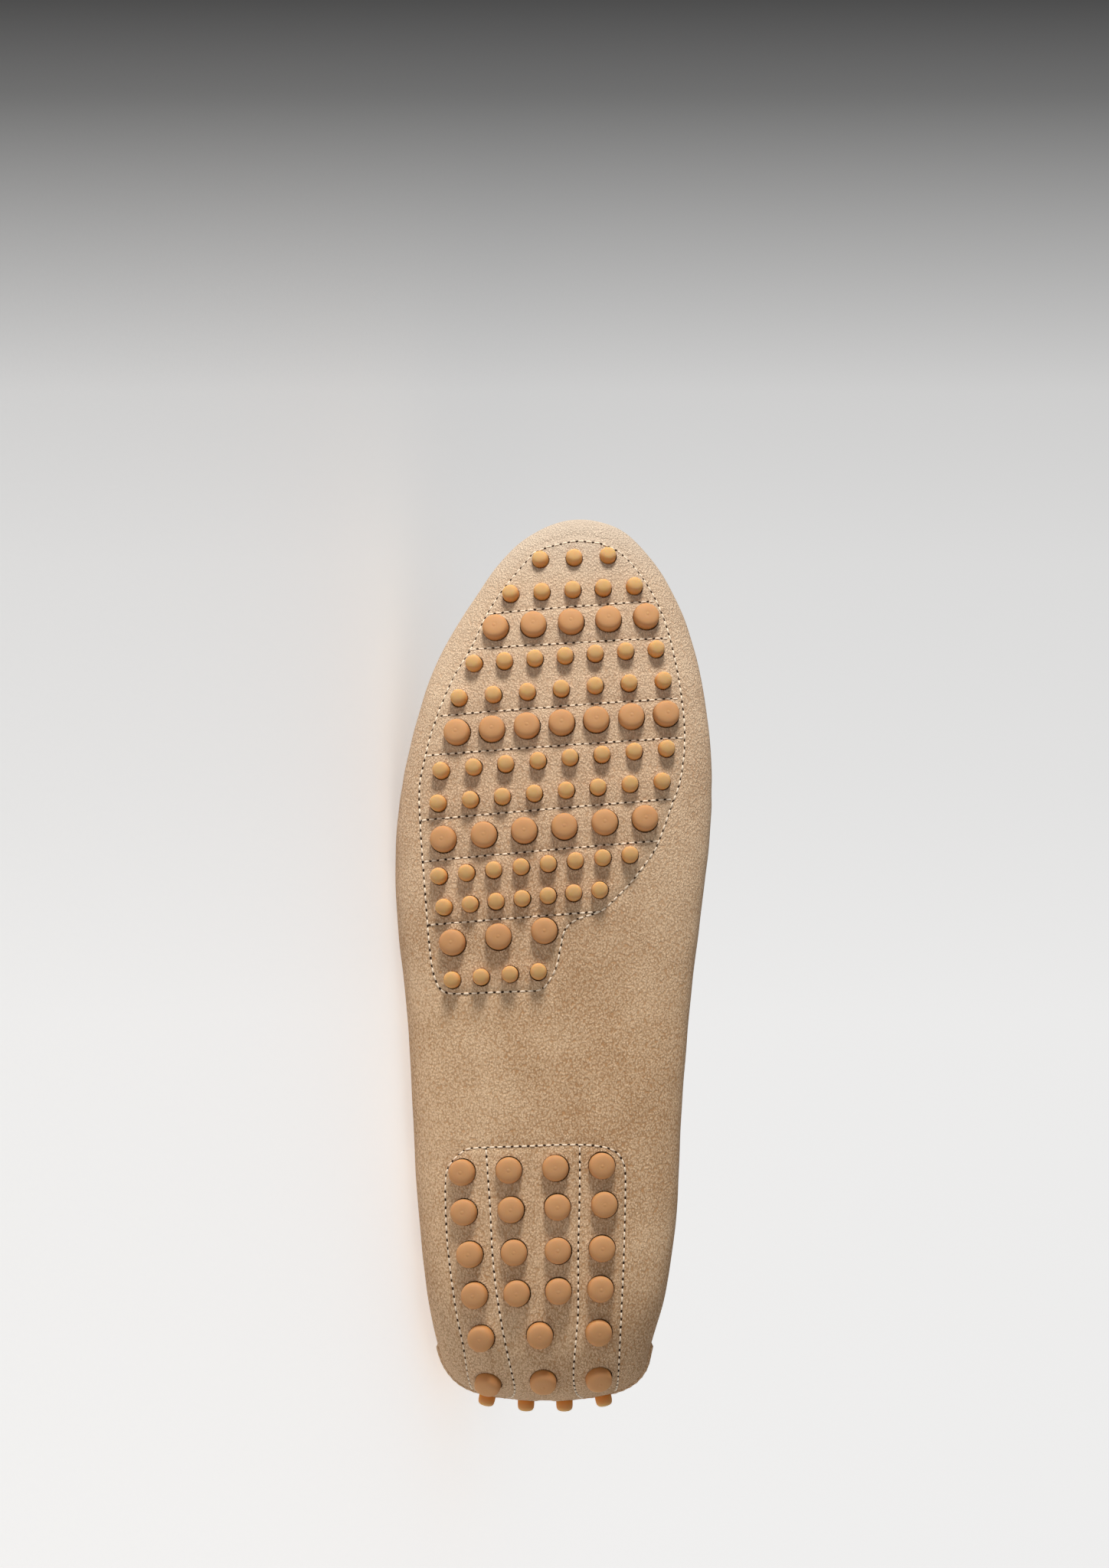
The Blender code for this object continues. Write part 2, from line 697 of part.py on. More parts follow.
def topline_points(count=38):
    """Middle of the wall's cut edge, from one side of the tongue round the heel to the other."""
    back = crossing(0.5 * MM, 0.1 * LENGTH)
    front = crossing(0.62 * LENGTH, 0.5 * LENGTH)
    tongue = apron_half(APRON[0][0] * LENGTH) + TOPLINE_DIAMETER / 2 + GAP
    found = []
    for i in range(4 * count):
        turn = 2 * math.pi * (i + 0.5) / (4 * count)
        y = back + (front - back) * (1 + math.cos(turn)) / 2
        z = topline_height(y)
        ridge = LAST.ridge(y)[0]
        reach = LAST.half_width(y, z, turn < math.pi)
        if y > LENGTH / 2 and reach < tongue:
            continue
        point = Vector((ridge + math.copysign(reach, math.pi - turn), y, z))
        up, normal = topline_up(y), LAST.normal(point)
        level = normal - up * normal.dot(up)
        found.append(point - level.normalized() * (WALL / 2) / max(level.length, 0.5))
    step = (len(found) - 1) / (count - 1)
    return [found[round(k * step)] for k in range(count)]


def topline_roll():
    """Rolled binding on the collar's edge."""
    radius = TOPLINE_DIAMETER / 2
    sides = 6
    points = [point + topline_up(point.y) * (radius + GAP) for point in topline_points()]
    rings = []
    for i, point in enumerate(points):
        run = (points[min(i + 1, len(points) - 1)] - points[max(i - 1, 0)]).normalized()
        up = (Vector((0, 0, 1)) - run * run.z).normalized()
        aside = run.cross(up)
        turns = [2 * math.pi * (k + 0.5) / sides for k in range(sides)]
        rings.append([point + (aside * math.sin(a) - up * math.cos(a)) * radius for a in turns])
    return new_object("topline_roll", swept_mesh("topline_roll", rings), SUEDE_DEEP, 0.95)


def heel_counter():
    """Counter laid over the heel's back, above the back studs, lower at its two ends."""
    across, tall = 17, 7
    high = COUNTER_TOP * COLLAR_HEIGHT
    sheets = []
    for depth in (-(OVERLAY_CLEARANCE + OVERLAY_THICKNESS), -OVERLAY_CLEARANCE):
        grid = []
        for i in range(across):
            share = 2 * i / (across - 1) - 1
            angle = COUNTER_REACH * share
            drop = (COUNTER_MIDDLE - COUNTER_END) * abs(share) ** COUNTER_SWEEP
            low = (COUNTER_MIDDLE - drop) * COLLAR_HEIGHT
            heights = [low + (high - low) * j / (tall - 1) for j in range(tall)]
            aim = Vector((math.sin(angle), -math.cos(angle), 0))
            grid.append([LAST.skin(Vector((0, COUNTER_AXIS * LENGTH, z)), aim, depth) for z in heights])
        sheets.append(grid)
    return new_object("heel_counter", sheet_mesh("heel_counter", *sheets), SUEDE_DEEP, 0.95)


def solid_facts(item):
    """Corner points, volume and centre of an object's evaluated mesh."""
    evaluated = item.evaluated_get(bpy.context.evaluated_depsgraph_get())
    mesh = evaluated.to_mesh()
    mesh.calc_loop_triangles()
    points = np.array([v.co for v in mesh.vertices])
    corners = points[[t.vertices[:] for t in mesh.loop_triangles]]
    evaluated.to_mesh_clear()
    volumes = np.einsum("ij,ij->i", corners[:, 0], np.cross(corners[:, 1], corners[:, 2])) / 6
    centre = (corners.sum(axis=1) / 4 * volumes[:, None]).sum(axis=0) / volumes.sum()
    return points, volumes.sum(), centre


def resting_normal(points, centre):
    """Outward normal of the hull's facet on the outer side that the centre of mass stands over."""
    hull = bmesh.new()
    for p in points:
        hull.verts.new(p)
    bmesh.ops.convex_hull(hull, input=hull.verts, use_existing_faces=False)
    stable = []
    for face in hull.faces:
        normal = face.normal.copy()
        corners = [v.co.copy() for v in face.verts]
        if normal.dot(corners[0] - centre) < 0:
            normal.negate()
        if normal.x > OUTER_SIDE_COSINE and intersect_point_tri(centre, *corners[:3]):
            stable.append((normal.dot(corners[0] - centre), normal))
    hull.free()
    return min(stable, key=lambda pair: pair[0])[1]


def lay_down(pieces):
    """Turn the standing shoe onto the facet of its outer side that carries its weight."""
    facts = [solid_facts(item) for item in pieces]
    points = np.concatenate([f[0] for f in facts])
    total = sum(f[1] for f in facts)
    down = resting_normal(points, Vector(sum(f[1] * f[2] for f in facts) / total))
    toe = (Vector((0, 1, 0)) - down * down.y).normalized()
    turn = Matrix((-toe, (-down).cross(-toe), -down))
    placed = points @ np.array(turn).T
    low, high = placed.min(axis=0), placed.max(axis=0)
    pose = turn.to_4x4()
    pose.translation = Vector((-(low[0] + high[0]) / 2, -(low[1] + high[1]) / 2, -low[2]))
    base = bpy.data.objects.new("lying_pose", None)
    bpy.context.scene.collection.objects.link(base)
    base.matrix_world = pose
    for item in list(bpy.context.scene.objects):
        if item.type == "MESH":
            item.parent = base


def main():
    clear_scene()
    forepart, heel = stud_places(FOREPART_STUDS), stud_places(HEEL_STUDS) + back_stud_places()
    pieces = [
        upper(forepart + heel),
        forepart_studs(forepart),
        heel_studs(heel),
        insole(),
        apron(),
        moccasin_seam(),
        topline_roll(),
        heel_counter(),
    ]
    bpy.context.view_layer.update()
    lay_down(pieces)
    bpy.context.view_layer.update()


main()
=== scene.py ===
"""Dresses the driving moccasin: brushed suede, punched holes, rubber studs, stitches, lining and studio.

Everything is drawn on the standing shoe, x to the outer side, y from heel to toe, z up from the suede
bottom, and is laid down with the turn that the record's two treads give.
"""

import json
import math

import bmesh
import bpy
import numpy as np
from bpy.props import FloatProperty, FloatVectorProperty, IntProperty, PointerProperty
from mathutils import Matrix, Vector
from mathutils.bvhtree import BVHTree
from mathutils.kdtree import KDTree

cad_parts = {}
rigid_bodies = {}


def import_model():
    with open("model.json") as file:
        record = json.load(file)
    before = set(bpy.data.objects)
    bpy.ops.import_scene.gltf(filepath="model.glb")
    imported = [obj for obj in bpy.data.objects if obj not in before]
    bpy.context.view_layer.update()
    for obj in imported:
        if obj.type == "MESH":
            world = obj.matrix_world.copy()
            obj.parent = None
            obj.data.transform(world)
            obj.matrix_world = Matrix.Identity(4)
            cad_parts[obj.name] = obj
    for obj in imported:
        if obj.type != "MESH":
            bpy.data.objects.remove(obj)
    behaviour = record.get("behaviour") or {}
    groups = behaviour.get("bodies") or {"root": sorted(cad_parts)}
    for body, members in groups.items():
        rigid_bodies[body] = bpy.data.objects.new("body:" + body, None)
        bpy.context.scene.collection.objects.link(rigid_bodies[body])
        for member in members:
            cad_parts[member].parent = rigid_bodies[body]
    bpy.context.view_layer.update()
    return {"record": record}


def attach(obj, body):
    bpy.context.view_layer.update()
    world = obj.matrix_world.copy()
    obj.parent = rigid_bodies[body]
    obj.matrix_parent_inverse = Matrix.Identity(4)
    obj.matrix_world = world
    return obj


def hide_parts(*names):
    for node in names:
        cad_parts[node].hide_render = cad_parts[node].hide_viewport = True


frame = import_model()

bl_info = {
    "name": "Driving Moccasin",
    "version": (1, 0, 0),
    "blender": (4, 5, 0),
    "location": "3D View > Sidebar > Moccasin",
    "description": "Makes the suede, studs, stitches and studio of a driving moccasin",
    "category": "Object",
}

MM = 0.001

# The last and its layers
LENGTH = 285.0 * MM
BALL_WIDTH = 103.5 * MM
INSTEP_HEIGHT = 72.5 * MM
SIDE_HEIGHT = 20.0 * MM
TOE_SPRING = 20.0 * MM
HEEL_LIFT = 26.0 * MM
RIDGE_SHIFT = 3.0 * MM
WALL = 2.0 * MM
GAP = 0.3 * MM
PLATE_THICKNESS = 1.5 * MM
PLATE_CLEARANCE = 0.45 * MM
INSOLE_THICKNESS = 2.5 * MM
INSOLE_CLEARANCE = 0.45 * MM
OVERLAY_THICKNESS = 1.4 * MM
OVERLAY_CLEARANCE = 0.45 * MM
COLLAR_HEIGHT = 57.0 * MM
TOPLINE_DIAMETER = 3.2 * MM
APRON_WIDTH = 60.0 * MM
SEAM_WIDTH = 3.4 * MM
SEAM_HEIGHT = 2.7 * MM
TONGUE_LENGTH = 20.0 * MM
TONGUE_TAPER = 0.14
COUNTER_REACH = math.radians(62.0)
COUNTER_AXIS = 0.13
COUNTER_TOP = 0.86
COUNTER_MIDDLE = 0.52
COUNTER_END = 0.27
COUNTER_SWEEP = 2.2
STUD_HEIGHT = 4.0 * MM
LARGE_STUD_DIAMETER = 8.5 * MM
SMALL_STUD_DIAMETER = 5.4 * MM
END = 1e-6
FLOOR_TOUCH = 0.05 * MM
HOLE_SLIP = 0.20 * MM
# The soft toe bulges past the last from here to its tip.
TOE_PUFF = 3.6 * MM
TOE_PUFF_START = 0.915

# The dressing
STITCH_PATH_STEP = 0.5 * MM
STITCH_TROUGH_WIDTH = 0.8 * MM
STITCH_INSET = 2.6 * MM
SEAM_STEP = 0.75 * MM
GATHER_STEP = 0.5 * MM
GATHER_RELIEF = 0.5 * MM
TOPLINE_STEP = 1.2 * MM
TOPLINE_STITCH_DROP = 3.0 * MM
HAND_THREAD_RADIUS = 0.42 * MM
COUNTER_RADIUS = 30.0 * MM
LINING_THICKNESS = 0.35 * MM
LINING_SLOPE = 4.5 * MM
HOLE_SIDES = 28
FIBRES_PER_HOLE = 30

# Sections of the last, heel to toe: shares of the sizes above, then both exponents and the lean.
SECTION_COLUMNS = ("along", "outer", "inner", "lift", "side", "crown", "corner", "arch", "lean")
SECTIONS = [
    (0.0000, -0.005, -0.005, 1.000, 1.300, 0.359, 2.2, 2.20, 0.00),
    (0.0035, 0.135, -0.140, 0.712, 1.280, 0.497, 2.2, 2.20, 0.00),
    (0.0140, 0.242, -0.249, 0.442, 1.200, 0.710, 2.3, 2.30, 0.03),
    (0.0333, 0.302, -0.307, 0.231, 1.080, 0.841, 2.5, 2.60, 0.10),
    (0.0649, 0.335, -0.331, 0.088, 0.950, 0.903, 2.8, 3.20, 0.20),
    (0.1263, 0.371, -0.377, 0.000, 0.850, 0.938, 3.0, 4.20, 0.28),
    (0.2175, 0.397, -0.412, 0.000, 0.800, 0.945, 3.0, 4.60, 0.31),
    (0.3333, 0.415, -0.429, 0.000, 0.780, 0.945, 3.0, 4.40, 0.32),
    (0.4456, 0.436, -0.452, 0.000, 0.780, 0.979, 3.0, 3.90, 0.32),
    (0.5439, 0.463, -0.486, 0.005, 0.790, 1.000, 3.0, 3.40, 0.31),
    (0.6316, 0.471, -0.517, 0.050, 0.820, 0.931, 3.0, 3.00, 0.27),
    (0.7018, 0.452, -0.525, 0.140, 0.880, 0.834, 3.0, 2.60, 0.18),
    (0.7719, 0.410, -0.514, 0.270, 0.990, 0.752, 3.0, 2.30, 0.08),
    (0.8386, 0.350, -0.486, 0.435, 1.130, 0.690, 2.9, 2.10, 0.02),
    (0.8947, 0.267, -0.442, 0.610, 1.270, 0.648, 2.8, 2.05, 0.00),
    (0.9386, 0.186, -0.385, 0.780, 1.370, 0.607, 2.6, 2.10, 0.00),
    (0.9684, 0.106, -0.315, 0.945, 1.425, 0.559, 2.4, 2.15, 0.00),
    (0.9881, 0.021, -0.245, 1.115, 1.440, 0.503, 2.3, 2.20, 0.00),
    (0.9975, -0.048, -0.169, 1.265, 1.450, 0.448, 2.2, 2.20, 0.00),
    (1.0000, -0.107, -0.107, 1.450, 1.450, 0.400, 2.2, 2.20, 0.00),
]
# Topline of the collar: share of LENGTH, share of COLLAR_HEIGHT.
TOPLINE = [
    (-0.06, 1.01),
    (0.02, 1.00),
    (0.12, 0.93),
    (0.27, 0.86),
    (0.40, 0.90),
    (0.49, 1.02),
    (0.55, 1.20),
    (0.585, 1.45),
    (0.600, 1.75),
]
# Edge of the apron: share of LENGTH, half width as a share of APRON_WIDTH.
APRON = [
    (0.572, 0.46),
    (0.66, 0.475),
    (0.75, 0.47),
    (0.82, 0.425),
    (0.87, 0.335),
    (0.895, 0.22),
    (0.907, 0.08),
]
# Rows of studs, toe first: size, count, then the outer and the inner end, along and across.
FOREPART_STUDS = [
    ("small", 3, 0.9589, 0.014, 0.9635, -0.196),
    ("small", 5, 0.9189, 0.107, 0.9281, -0.279),
    ("large", 5, 0.8793, 0.155, 0.8926, -0.316),
    ("small", 7, 0.8372, 0.222, 0.8544, -0.346),
    ("small", 7, 0.7975, 0.268, 0.8179, -0.368),
    ("large", 7, 0.7579, 0.275, 0.7793, -0.377),
    ("small", 8, 0.7140, 0.323, 0.7393, -0.377),
    ("small", 8, 0.6768, 0.332, 0.7018, -0.363),
    ("large", 6, 0.6358, 0.316, 0.6593, -0.310),
    ("small", 8, 0.5940, 0.329, 0.6179, -0.263),
    ("small", 7, 0.5589, 0.313, 0.5779, -0.169),
    ("large", 3, 0.5189, 0.287, 0.5319, 0.003),
    ("small", 4, 0.4768, 0.287, 0.4860, 0.021),
]
HEEL_STUDS = [
    ("large", 4, 0.2600, 0.256, 0.2674, -0.175),
    ("large", 4, 0.2154, 0.250, 0.2239, -0.182),
    ("large", 4, 0.1681, 0.232, 0.1747, -0.175),
    ("large", 4, 0.1228, 0.217, 0.1298, -0.170),
    ("large", 3, 0.0751, 0.197, 0.0814, -0.164),
    ("large", 3, 0.0242, 0.176, 0.0298, -0.164),
]
BACK_STUD_COUNT = 4
BACK_STUD_SPAN = 0.36
BACK_STUD_HEIGHT = 1.22
# The studs of the two treads: row, place in the row.
FOREPART_TREAD = (11, 2)
HEEL_TREAD = (1, 2)
# Edges of the plates and the insole: along, outer, inner.
FOREPART_PLATE = [
    (0.460, 0.335, -0.030),
    (0.500, 0.348, -0.052),
    (0.545, 0.366, -0.150),
    (0.590, 0.376, -0.295),
    (0.640, 0.378, -0.385),
    (0.700, 0.366, -0.422),
    (0.760, 0.338, -0.425),
    (0.820, 0.298, -0.402),
    (0.870, 0.240, -0.372),
    (0.910, 0.178, -0.335),
    (0.945, 0.110, -0.288),
    (0.973, 0.035, -0.215),
]
# The heel plate rolls up the back: along, turn in degrees, outer, inner.
HEEL_PLATE = [
    (0.288, 0.0, 0.300, -0.225),
    (0.230, 0.0, 0.315, -0.250),
    (0.175, 0.0, 0.305, -0.248),
    (0.130, 0.0, 0.290, -0.244),
    (0.105, 8.0, 0.282, -0.240),
    (0.105, 26.0, 0.272, -0.236),
    (0.105, 45.0, 0.262, -0.232),
    (0.105, 64.0, 0.250, -0.228),
    (0.105, 83.0, 0.242, -0.225),
    (0.105, 103.0, 0.235, -0.222),
]
# The point that the heel's bottom rolls round, and the roll's radius.
HEEL_CENTRE_Y = 0.105 * LENGTH
HEEL_CENTRE_Z = 1.15 * SIDE_HEIGHT
HEEL_ROLL_RADIUS = 27.0 * MM
# The lining over the heel plate is wider, and goes higher up the back.
HEEL_LINING = [
    (0.230, 0.0, 0.350, -0.300),
    (0.175, 0.0, 0.350, -0.300),
    (0.130, 0.0, 0.340, -0.298),
    (0.105, 8.0, 0.334, -0.294),
    (0.105, 26.0, 0.326, -0.290),
    (0.105, 45.0, 0.316, -0.286),
    (0.105, 64.0, 0.306, -0.282),
    (0.105, 83.0, 0.298, -0.280),
    (0.105, 103.0, 0.292, -0.276),
    (0.105, 122.0, 0.286, -0.272),
]
INSOLE = [
    (0.050, 0.190, -0.190),
    (0.100, 0.268, -0.270),
    (0.180, 0.300, -0.312),
    (0.300, 0.322, -0.335),
    (0.430, 0.345, -0.358),
    (0.540, 0.372, -0.392),
    (0.630, 0.380, -0.425),
    (0.710, 0.358, -0.432),
    (0.790, 0.310, -0.415),
    (0.860, 0.240, -0.380),
    (0.915, 0.150, -0.325),
    (0.950, 0.050, -0.250),
]

# Lines of machine stitches in the suede bottom, in mm: across to the outer side, along from the heel.
FOREPART_STITCHES = [
    (2.2, 276.1), (-6.5, 278.7), (-16.0, 278.9), (-24.5, 275.5), (-31.6, 268.2), (-36.8, 259.4),
    (-40.8, 247.7), (-43.9, 231.9), (-45.3, 215.4), (-43.9, 201.3), (-40.4, 191.0), (-36.8, 180.8),
    (-34.8, 176.9), (-28.2, 168.0), (-21.5, 161.0), (-17.5, 157.8), (-10.0, 155.2), (-6.4, 152.0),
    (-4.9, 146.2), (-3.7, 140.5), (-1.4, 135.8), (1.6, 132.7), (8.0, 132.2), (18.0, 131.8),
    (29.0, 131.5), (33.6, 132.8), (36.1, 138.3), (37.3, 146.2), (38.4, 158.5), (39.6, 173.6),
    (40.5, 186.2), (40.9, 198.0), (39.0, 208.7), (36.4, 218.6), (30.9, 232.7), (24.2, 244.5),
    (18.8, 256.4), (12.5, 265.8), (5.3, 273.7),
]
CROSS_STITCHES = [
    [(19.1, 255.7), (-36.0, 260.1)],
    [(24.7, 243.8), (-40.4, 247.7)],
    [(33.7, 221.8), (-43.5, 227.6)],
    [(38.8, 208.7), (-45.1, 214.6)],
    [(40.4, 187.5), (-41.2, 194.4)],
    [(39.6, 174.1), (-36.8, 180.8)],
    [(37.3, 153.6), (-18.3, 157.9)],
]
# Behind the heel's centre the second number goes on up the back of the heel.
HEEL_STITCHES = [
    (23.5, 81.8), (7.4, 82.5), (-9.1, 83.0), (-17.2, 82.5), (-22.2, 81.0), (-24.7, 78.1),
    (-25.7, 74.1), (-25.7, 64.7), (-25.2, 45.9), (-24.5, 30.0), (-24.1, 18.8), (-23.7, 6.0),
    (-23.2, -6.0), (-22.0, -15.0), (-17.0, -18.3), (0.0, -19.0), (18.0, -18.3), (23.0, -15.0),
    (24.2, -6.0), (25.2, 2.8), (26.3, 13.0), (27.7, 22.3), (28.9, 31.4), (30.3, 41.5),
    (31.4, 51.6), (31.9, 60.3), (32.1, 69.8), (31.4, 74.8), (29.6, 77.8), (27.0, 80.3),
]
HEEL_CHANNELS = [
    [(19.0, 81.8), (18.3, 72.6), (17.5, 60.3), (17.0, 50.1), (16.1, 40.0), (14.6, 29.5), (13.3, 20.5),
     (11.4, 10.0), (9.8, 0.0), (10.5, -8.0), (12.0, -14.0), (12.0, -18.2)],
    [(-11.1, 82.6), (-11.1, 71.9), (-10.9, 60.3), (-10.6, 50.1), (-10.6, 38.5), (-10.5, 27.7), (-9.9, 19.0),
     (-9.1, 6.0), (-10.0, -4.0), (-12.0, -13.0), (-12.0, -18.2)],
]

# Creases: side (1 outer, -1 inner, 0 over the vamp), depth and width in mm, then points. On a side they
# are a share of LENGTH and a height in mm; over the vamp a share of LENGTH and mm from the ridge.
CREASES = [
    (1, 0.9, 2.6, [(0.648, 56), (0.668, 42), (0.694, 27), (0.700, 18)]),
    (1, 0.6, 2.2, [(0.700, 50), (0.716, 38), (0.742, 27)]),
    (1, 0.7, 2.4, [(0.592, 62), (0.610, 48), (0.632, 34), (0.636, 24)]),
    (-1, 0.9, 2.6, [(0.640, 57), (0.664, 42), (0.690, 28), (0.692, 18)]),
    (-1, 0.7, 2.2, [(0.700, 50), (0.722, 38), (0.748, 26)]),
    (-1, 0.6, 2.4, [(0.588, 62), (0.604, 48), (0.628, 33)]),
    (0, 0.9, 3.0, [(0.652, 30), (0.668, 12), (0.672, -8), (0.650, -31)]),
    (0, 0.6, 2.6, [(0.706, 28), (0.716, 8), (0.714, -12), (0.700, -29)]),
    (1, 0.8, 3.4, [(0.265, 44), (0.300, 35), (0.350, 29), (0.400, 27)]),
    (-1, 0.8, 3.4, [(0.280, 44), (0.312, 36), (0.362, 30), (0.410, 27)]),
    (1, 0.5, 2.6, [(0.455, 50), (0.440, 40), (0.452, 29)]),
    (-1, 0.5, 2.6, [(0.470, 50), (0.452, 40), (0.460, 29)]),
]


def column(table, number):
    return np.array([row[number] for row in table], dtype=float)


def unit(vectors):
    return vectors / np.maximum(np.linalg.norm(vectors, axis=-1, keepdims=True), 1e-12)


def points_at(x, y, z):
    """Points from coordinates that may have different shapes."""
    return np.stack(np.broadcast_arrays(x, y, z), axis=-1)


def full_turn(sides):
    return 2 * np.pi * np.arange(sides) / sides


def wheel_round(axis, angle):
    """Directions square to an axis, at those angles round it."""
    u = unit(np.array([1.0, 0, 0]) - axis * axis[0])
    v = np.cross(axis, u)
    return u * np.cos(angle)[:, None] + v * np.sin(angle)[:, None]


def spline(values, at, before=None, after=None):
    """Catmull-Rom curve through values at fractional row numbers. before and after stand past its ends."""
    values = np.asarray(values, dtype=float)
    first = 2 * values[0] - values[1] if before is None else before
    last = 2 * values[-1] - values[-2] if after is None else after
    padded = np.concatenate([[first], values, [last]])
    row = np.clip(np.floor(at).astype(int), 0, len(values) - 2)
    t = at - row
    a, b, c, d = (padded[row + k] for k in range(4))
    return 0.5 * (2 * b + (c - a) * t + (2 * a - 5 * b + 4 * c - d) * t**2 + (3 * b - a - 3 * c + d) * t**3)


def table_curve(table, count):
    at = np.linspace(0, len(table) - 1, count)
    return [spline(column(table, k), at) for k in range(len(table[0]))]


class Last:
    """The last's form, for many points at once."""

    def __init__(self):
        raw = {name: column(SECTIONS, k) for k, name in enumerate(SECTION_COLUMNS)}
        along = raw["along"] * LENGTH
        under = raw["lift"] * np.where(raw["along"] < 0.5, HEEL_LIFT, TOE_SPRING)
        side = raw["side"] * SIDE_HEIGHT
        crown = raw["crown"] * INSTEP_HEIGHT
        for values in (under, crown):
            values[0], values[-1] = side[0], side[-1]
        outer, inner = raw["outer"] * BALL_WIDTH, raw["inner"] * BALL_WIDTH
        self.at = np.linspace(0, len(SECTIONS) - 1, 900)
        self.along = np.maximum.accumulate(self.closed(along, along))
        self.outer, self.inner = self.closed(outer, inner), self.closed(inner, outer)
        self.under, self.crown = self.closed(under, crown), self.closed(crown, under)
        self.side = self.closed(side, side)
        self.corner, self.arch, self.lean = (spline(raw[n], self.at) for n in ("corner", "arch", "lean"))

    def closed(self, low, high):
        return spline(low, self.at, high[1], high[-2])

    def read(self, name, y):
        return np.interp(y, self.along, getattr(self, name))

    def middle(self, y):
        return (self.read("outer", y) + self.read("inner", y)) / 2

    def ridge(self, y):
        return self.middle(y) - RIDGE_SHIFT * np.sin(np.pi * np.clip(y / LENGTH, 0.0, 1.0))

    def quarter(self, y, outer_side, upper_side):
        """Centre x, half width, height, exponent and lean of a quarter of the section at y."""
        centre = np.where(upper_side, self.ridge(y), self.middle(y))
        half = np.where(outer_side, self.read("outer", y) - centre, centre - self.read("inner", y))
        side = self.read("side", y)
        tall = np.where(upper_side, self.read("crown", y) - side, side - self.read("under", y))
        power = np.where(upper_side, self.read("arch", y), self.read("corner", y))
        return centre, half, np.maximum(tall, END), power, np.where(upper_side, self.read("lean", y), 0.0)

    def measure(self, points):
        """Below zero inside the last, above zero outside."""
        x, y, z = np.moveaxis(points, -1, 0)
        rise = z - self.read("side", y)
        upper_side = rise > 0.0
        outer_side = x > np.where(upper_side, self.ridge(y), self.middle(y))
        centre, half, tall, power, lean = self.quarter(y, outer_side, upper_side)
        half = np.maximum(half - lean * np.abs(rise), END)
        value = (np.abs(x - centre) / half) ** power + (np.abs(rise) / tall) ** power - 1.0
        return np.where((y <= 0.0) | (y >= LENGTH), 1.0, value)

    def normal(self, points):
        step = 0.15 * MM
        shifts = np.eye(3) * step
        return unit(np.stack([self.measure(points + s) - self.measure(points - s) for s in shifts], axis=-1))

    def hit(self, start, direction):
        """Where rays from points inside leave the last."""
        near, far = np.zeros(start.shape[:-1]), np.full(start.shape[:-1], LENGTH)
        for _ in range(40):
            half = (near + far) / 2
            inside = self.measure(start + direction * half[..., None]) < 0.0
            near, far = np.where(inside, half, near), np.where(inside, far, half)
        return start + direction * near[..., None]

    def skin(self, start, direction, depth):
        point = self.hit(start, np.broadcast_to(direction, start.shape))
        return point - self.normal(point) * np.asarray(depth)[..., None]

    def below(self, x, y, depth=0.0):
        return self.skin(points_at(x, y, self.read("side", y)), np.array([0.0, 0, -1]), depth)

    def above(self, x, y, depth=0.0):
        return self.skin(points_at(x, y, self.read("side", y)), np.array([0.0, 0, 1]), depth)

    def beside(self, y, z, side, depth=0.0):
        """A point of the wall at that height, on the outer side (1) or the inner (-1)."""
        return self.skin(points_at(self.ridge(y), y, z), np.array([float(side), 0, 0]), depth)

    def heel(self, x, run, depth=0.0):
        """A point of the bottom; behind the heel's centre, run goes on round the heel and up its back."""
        turn = np.maximum(HEEL_CENTRE_Y - run, 0.0) / HEEL_ROLL_RADIUS
        start = points_at(x, np.maximum(run, HEEL_CENTRE_Y), HEEL_CENTRE_Z)
        return self.skin(start, points_at(0.0, -np.sin(turn), -np.cos(turn)), depth)


LAST = Last()


def topline_height(y):
    along, height = table_curve(TOPLINE, 80)
    return np.interp(y / LENGTH, along, height) * COLLAR_HEIGHT


def stud_places(rows):
    """Size, point on the last and direction of every stud of the rows."""
    found = []
    for size, count, outer_along, outer_across, inner_along, inner_across in rows:
        share = np.arange(count) / (count - 1)
        y = (outer_along + (inner_along - outer_along) * share) * LENGTH
        x = (outer_across + (inner_across - outer_across) * share) * BALL_WIDTH
        points = LAST.below(x, y)
        found.append([(size, p, n) for p, n in zip(points, LAST.normal(points))])
    return found


def back_stud_places():
    x = (0.5 - np.arange(BACK_STUD_COUNT) / (BACK_STUD_COUNT - 1)) * BACK_STUD_SPAN * BALL_WIDTH
    start = points_at(x, HEEL_CENTRE_Y, BACK_STUD_HEIGHT * SIDE_HEIGHT)
    points = LAST.skin(start, np.array([0.0, -1, 0]), 0.0)
    return [("small", p, n) for p, n in zip(points, LAST.normal(points))]


FOREPART_ROWS, HEEL_ROWS = stud_places(FOREPART_STUDS), stud_places(HEEL_STUDS)
FOREPART = [stud for row in FOREPART_ROWS for stud in row]
HEEL = [stud for row in HEEL_ROWS for stud in row] + back_stud_places()


def shoe_pose():
    """The turn and shift that lay the standing shoe down as the record has it, from its two treads."""
    treads = {m["name"]: m for m in frame["record"]["mounts"]}
    axes, tips = [], []
    for rows, (row, place) in ((FOREPART_ROWS, FOREPART_TREAD), (HEEL_ROWS, HEEL_TREAD)):
        _, point, normal = rows[row][place]
        axes.append(normal)
        tips.append(point + normal * STUD_HEIGHT)
    laid = [np.array(treads[name]["pos_m"]) for name in ("forepart_tread", "heel_tread")]

    def basis(first, second, axis):
        u = unit(second - first)
        w = unit(axis - u * axis.dot(u))
        return np.stack([u, np.cross(w, u), w], axis=1)

    turn = basis(*laid, np.array(treads["forepart_tread"]["axis"])) @ basis(*tips, axes[0]).T
    return turn, laid[0] - turn @ tips[0]


TURN, SHIFT = shoe_pose()


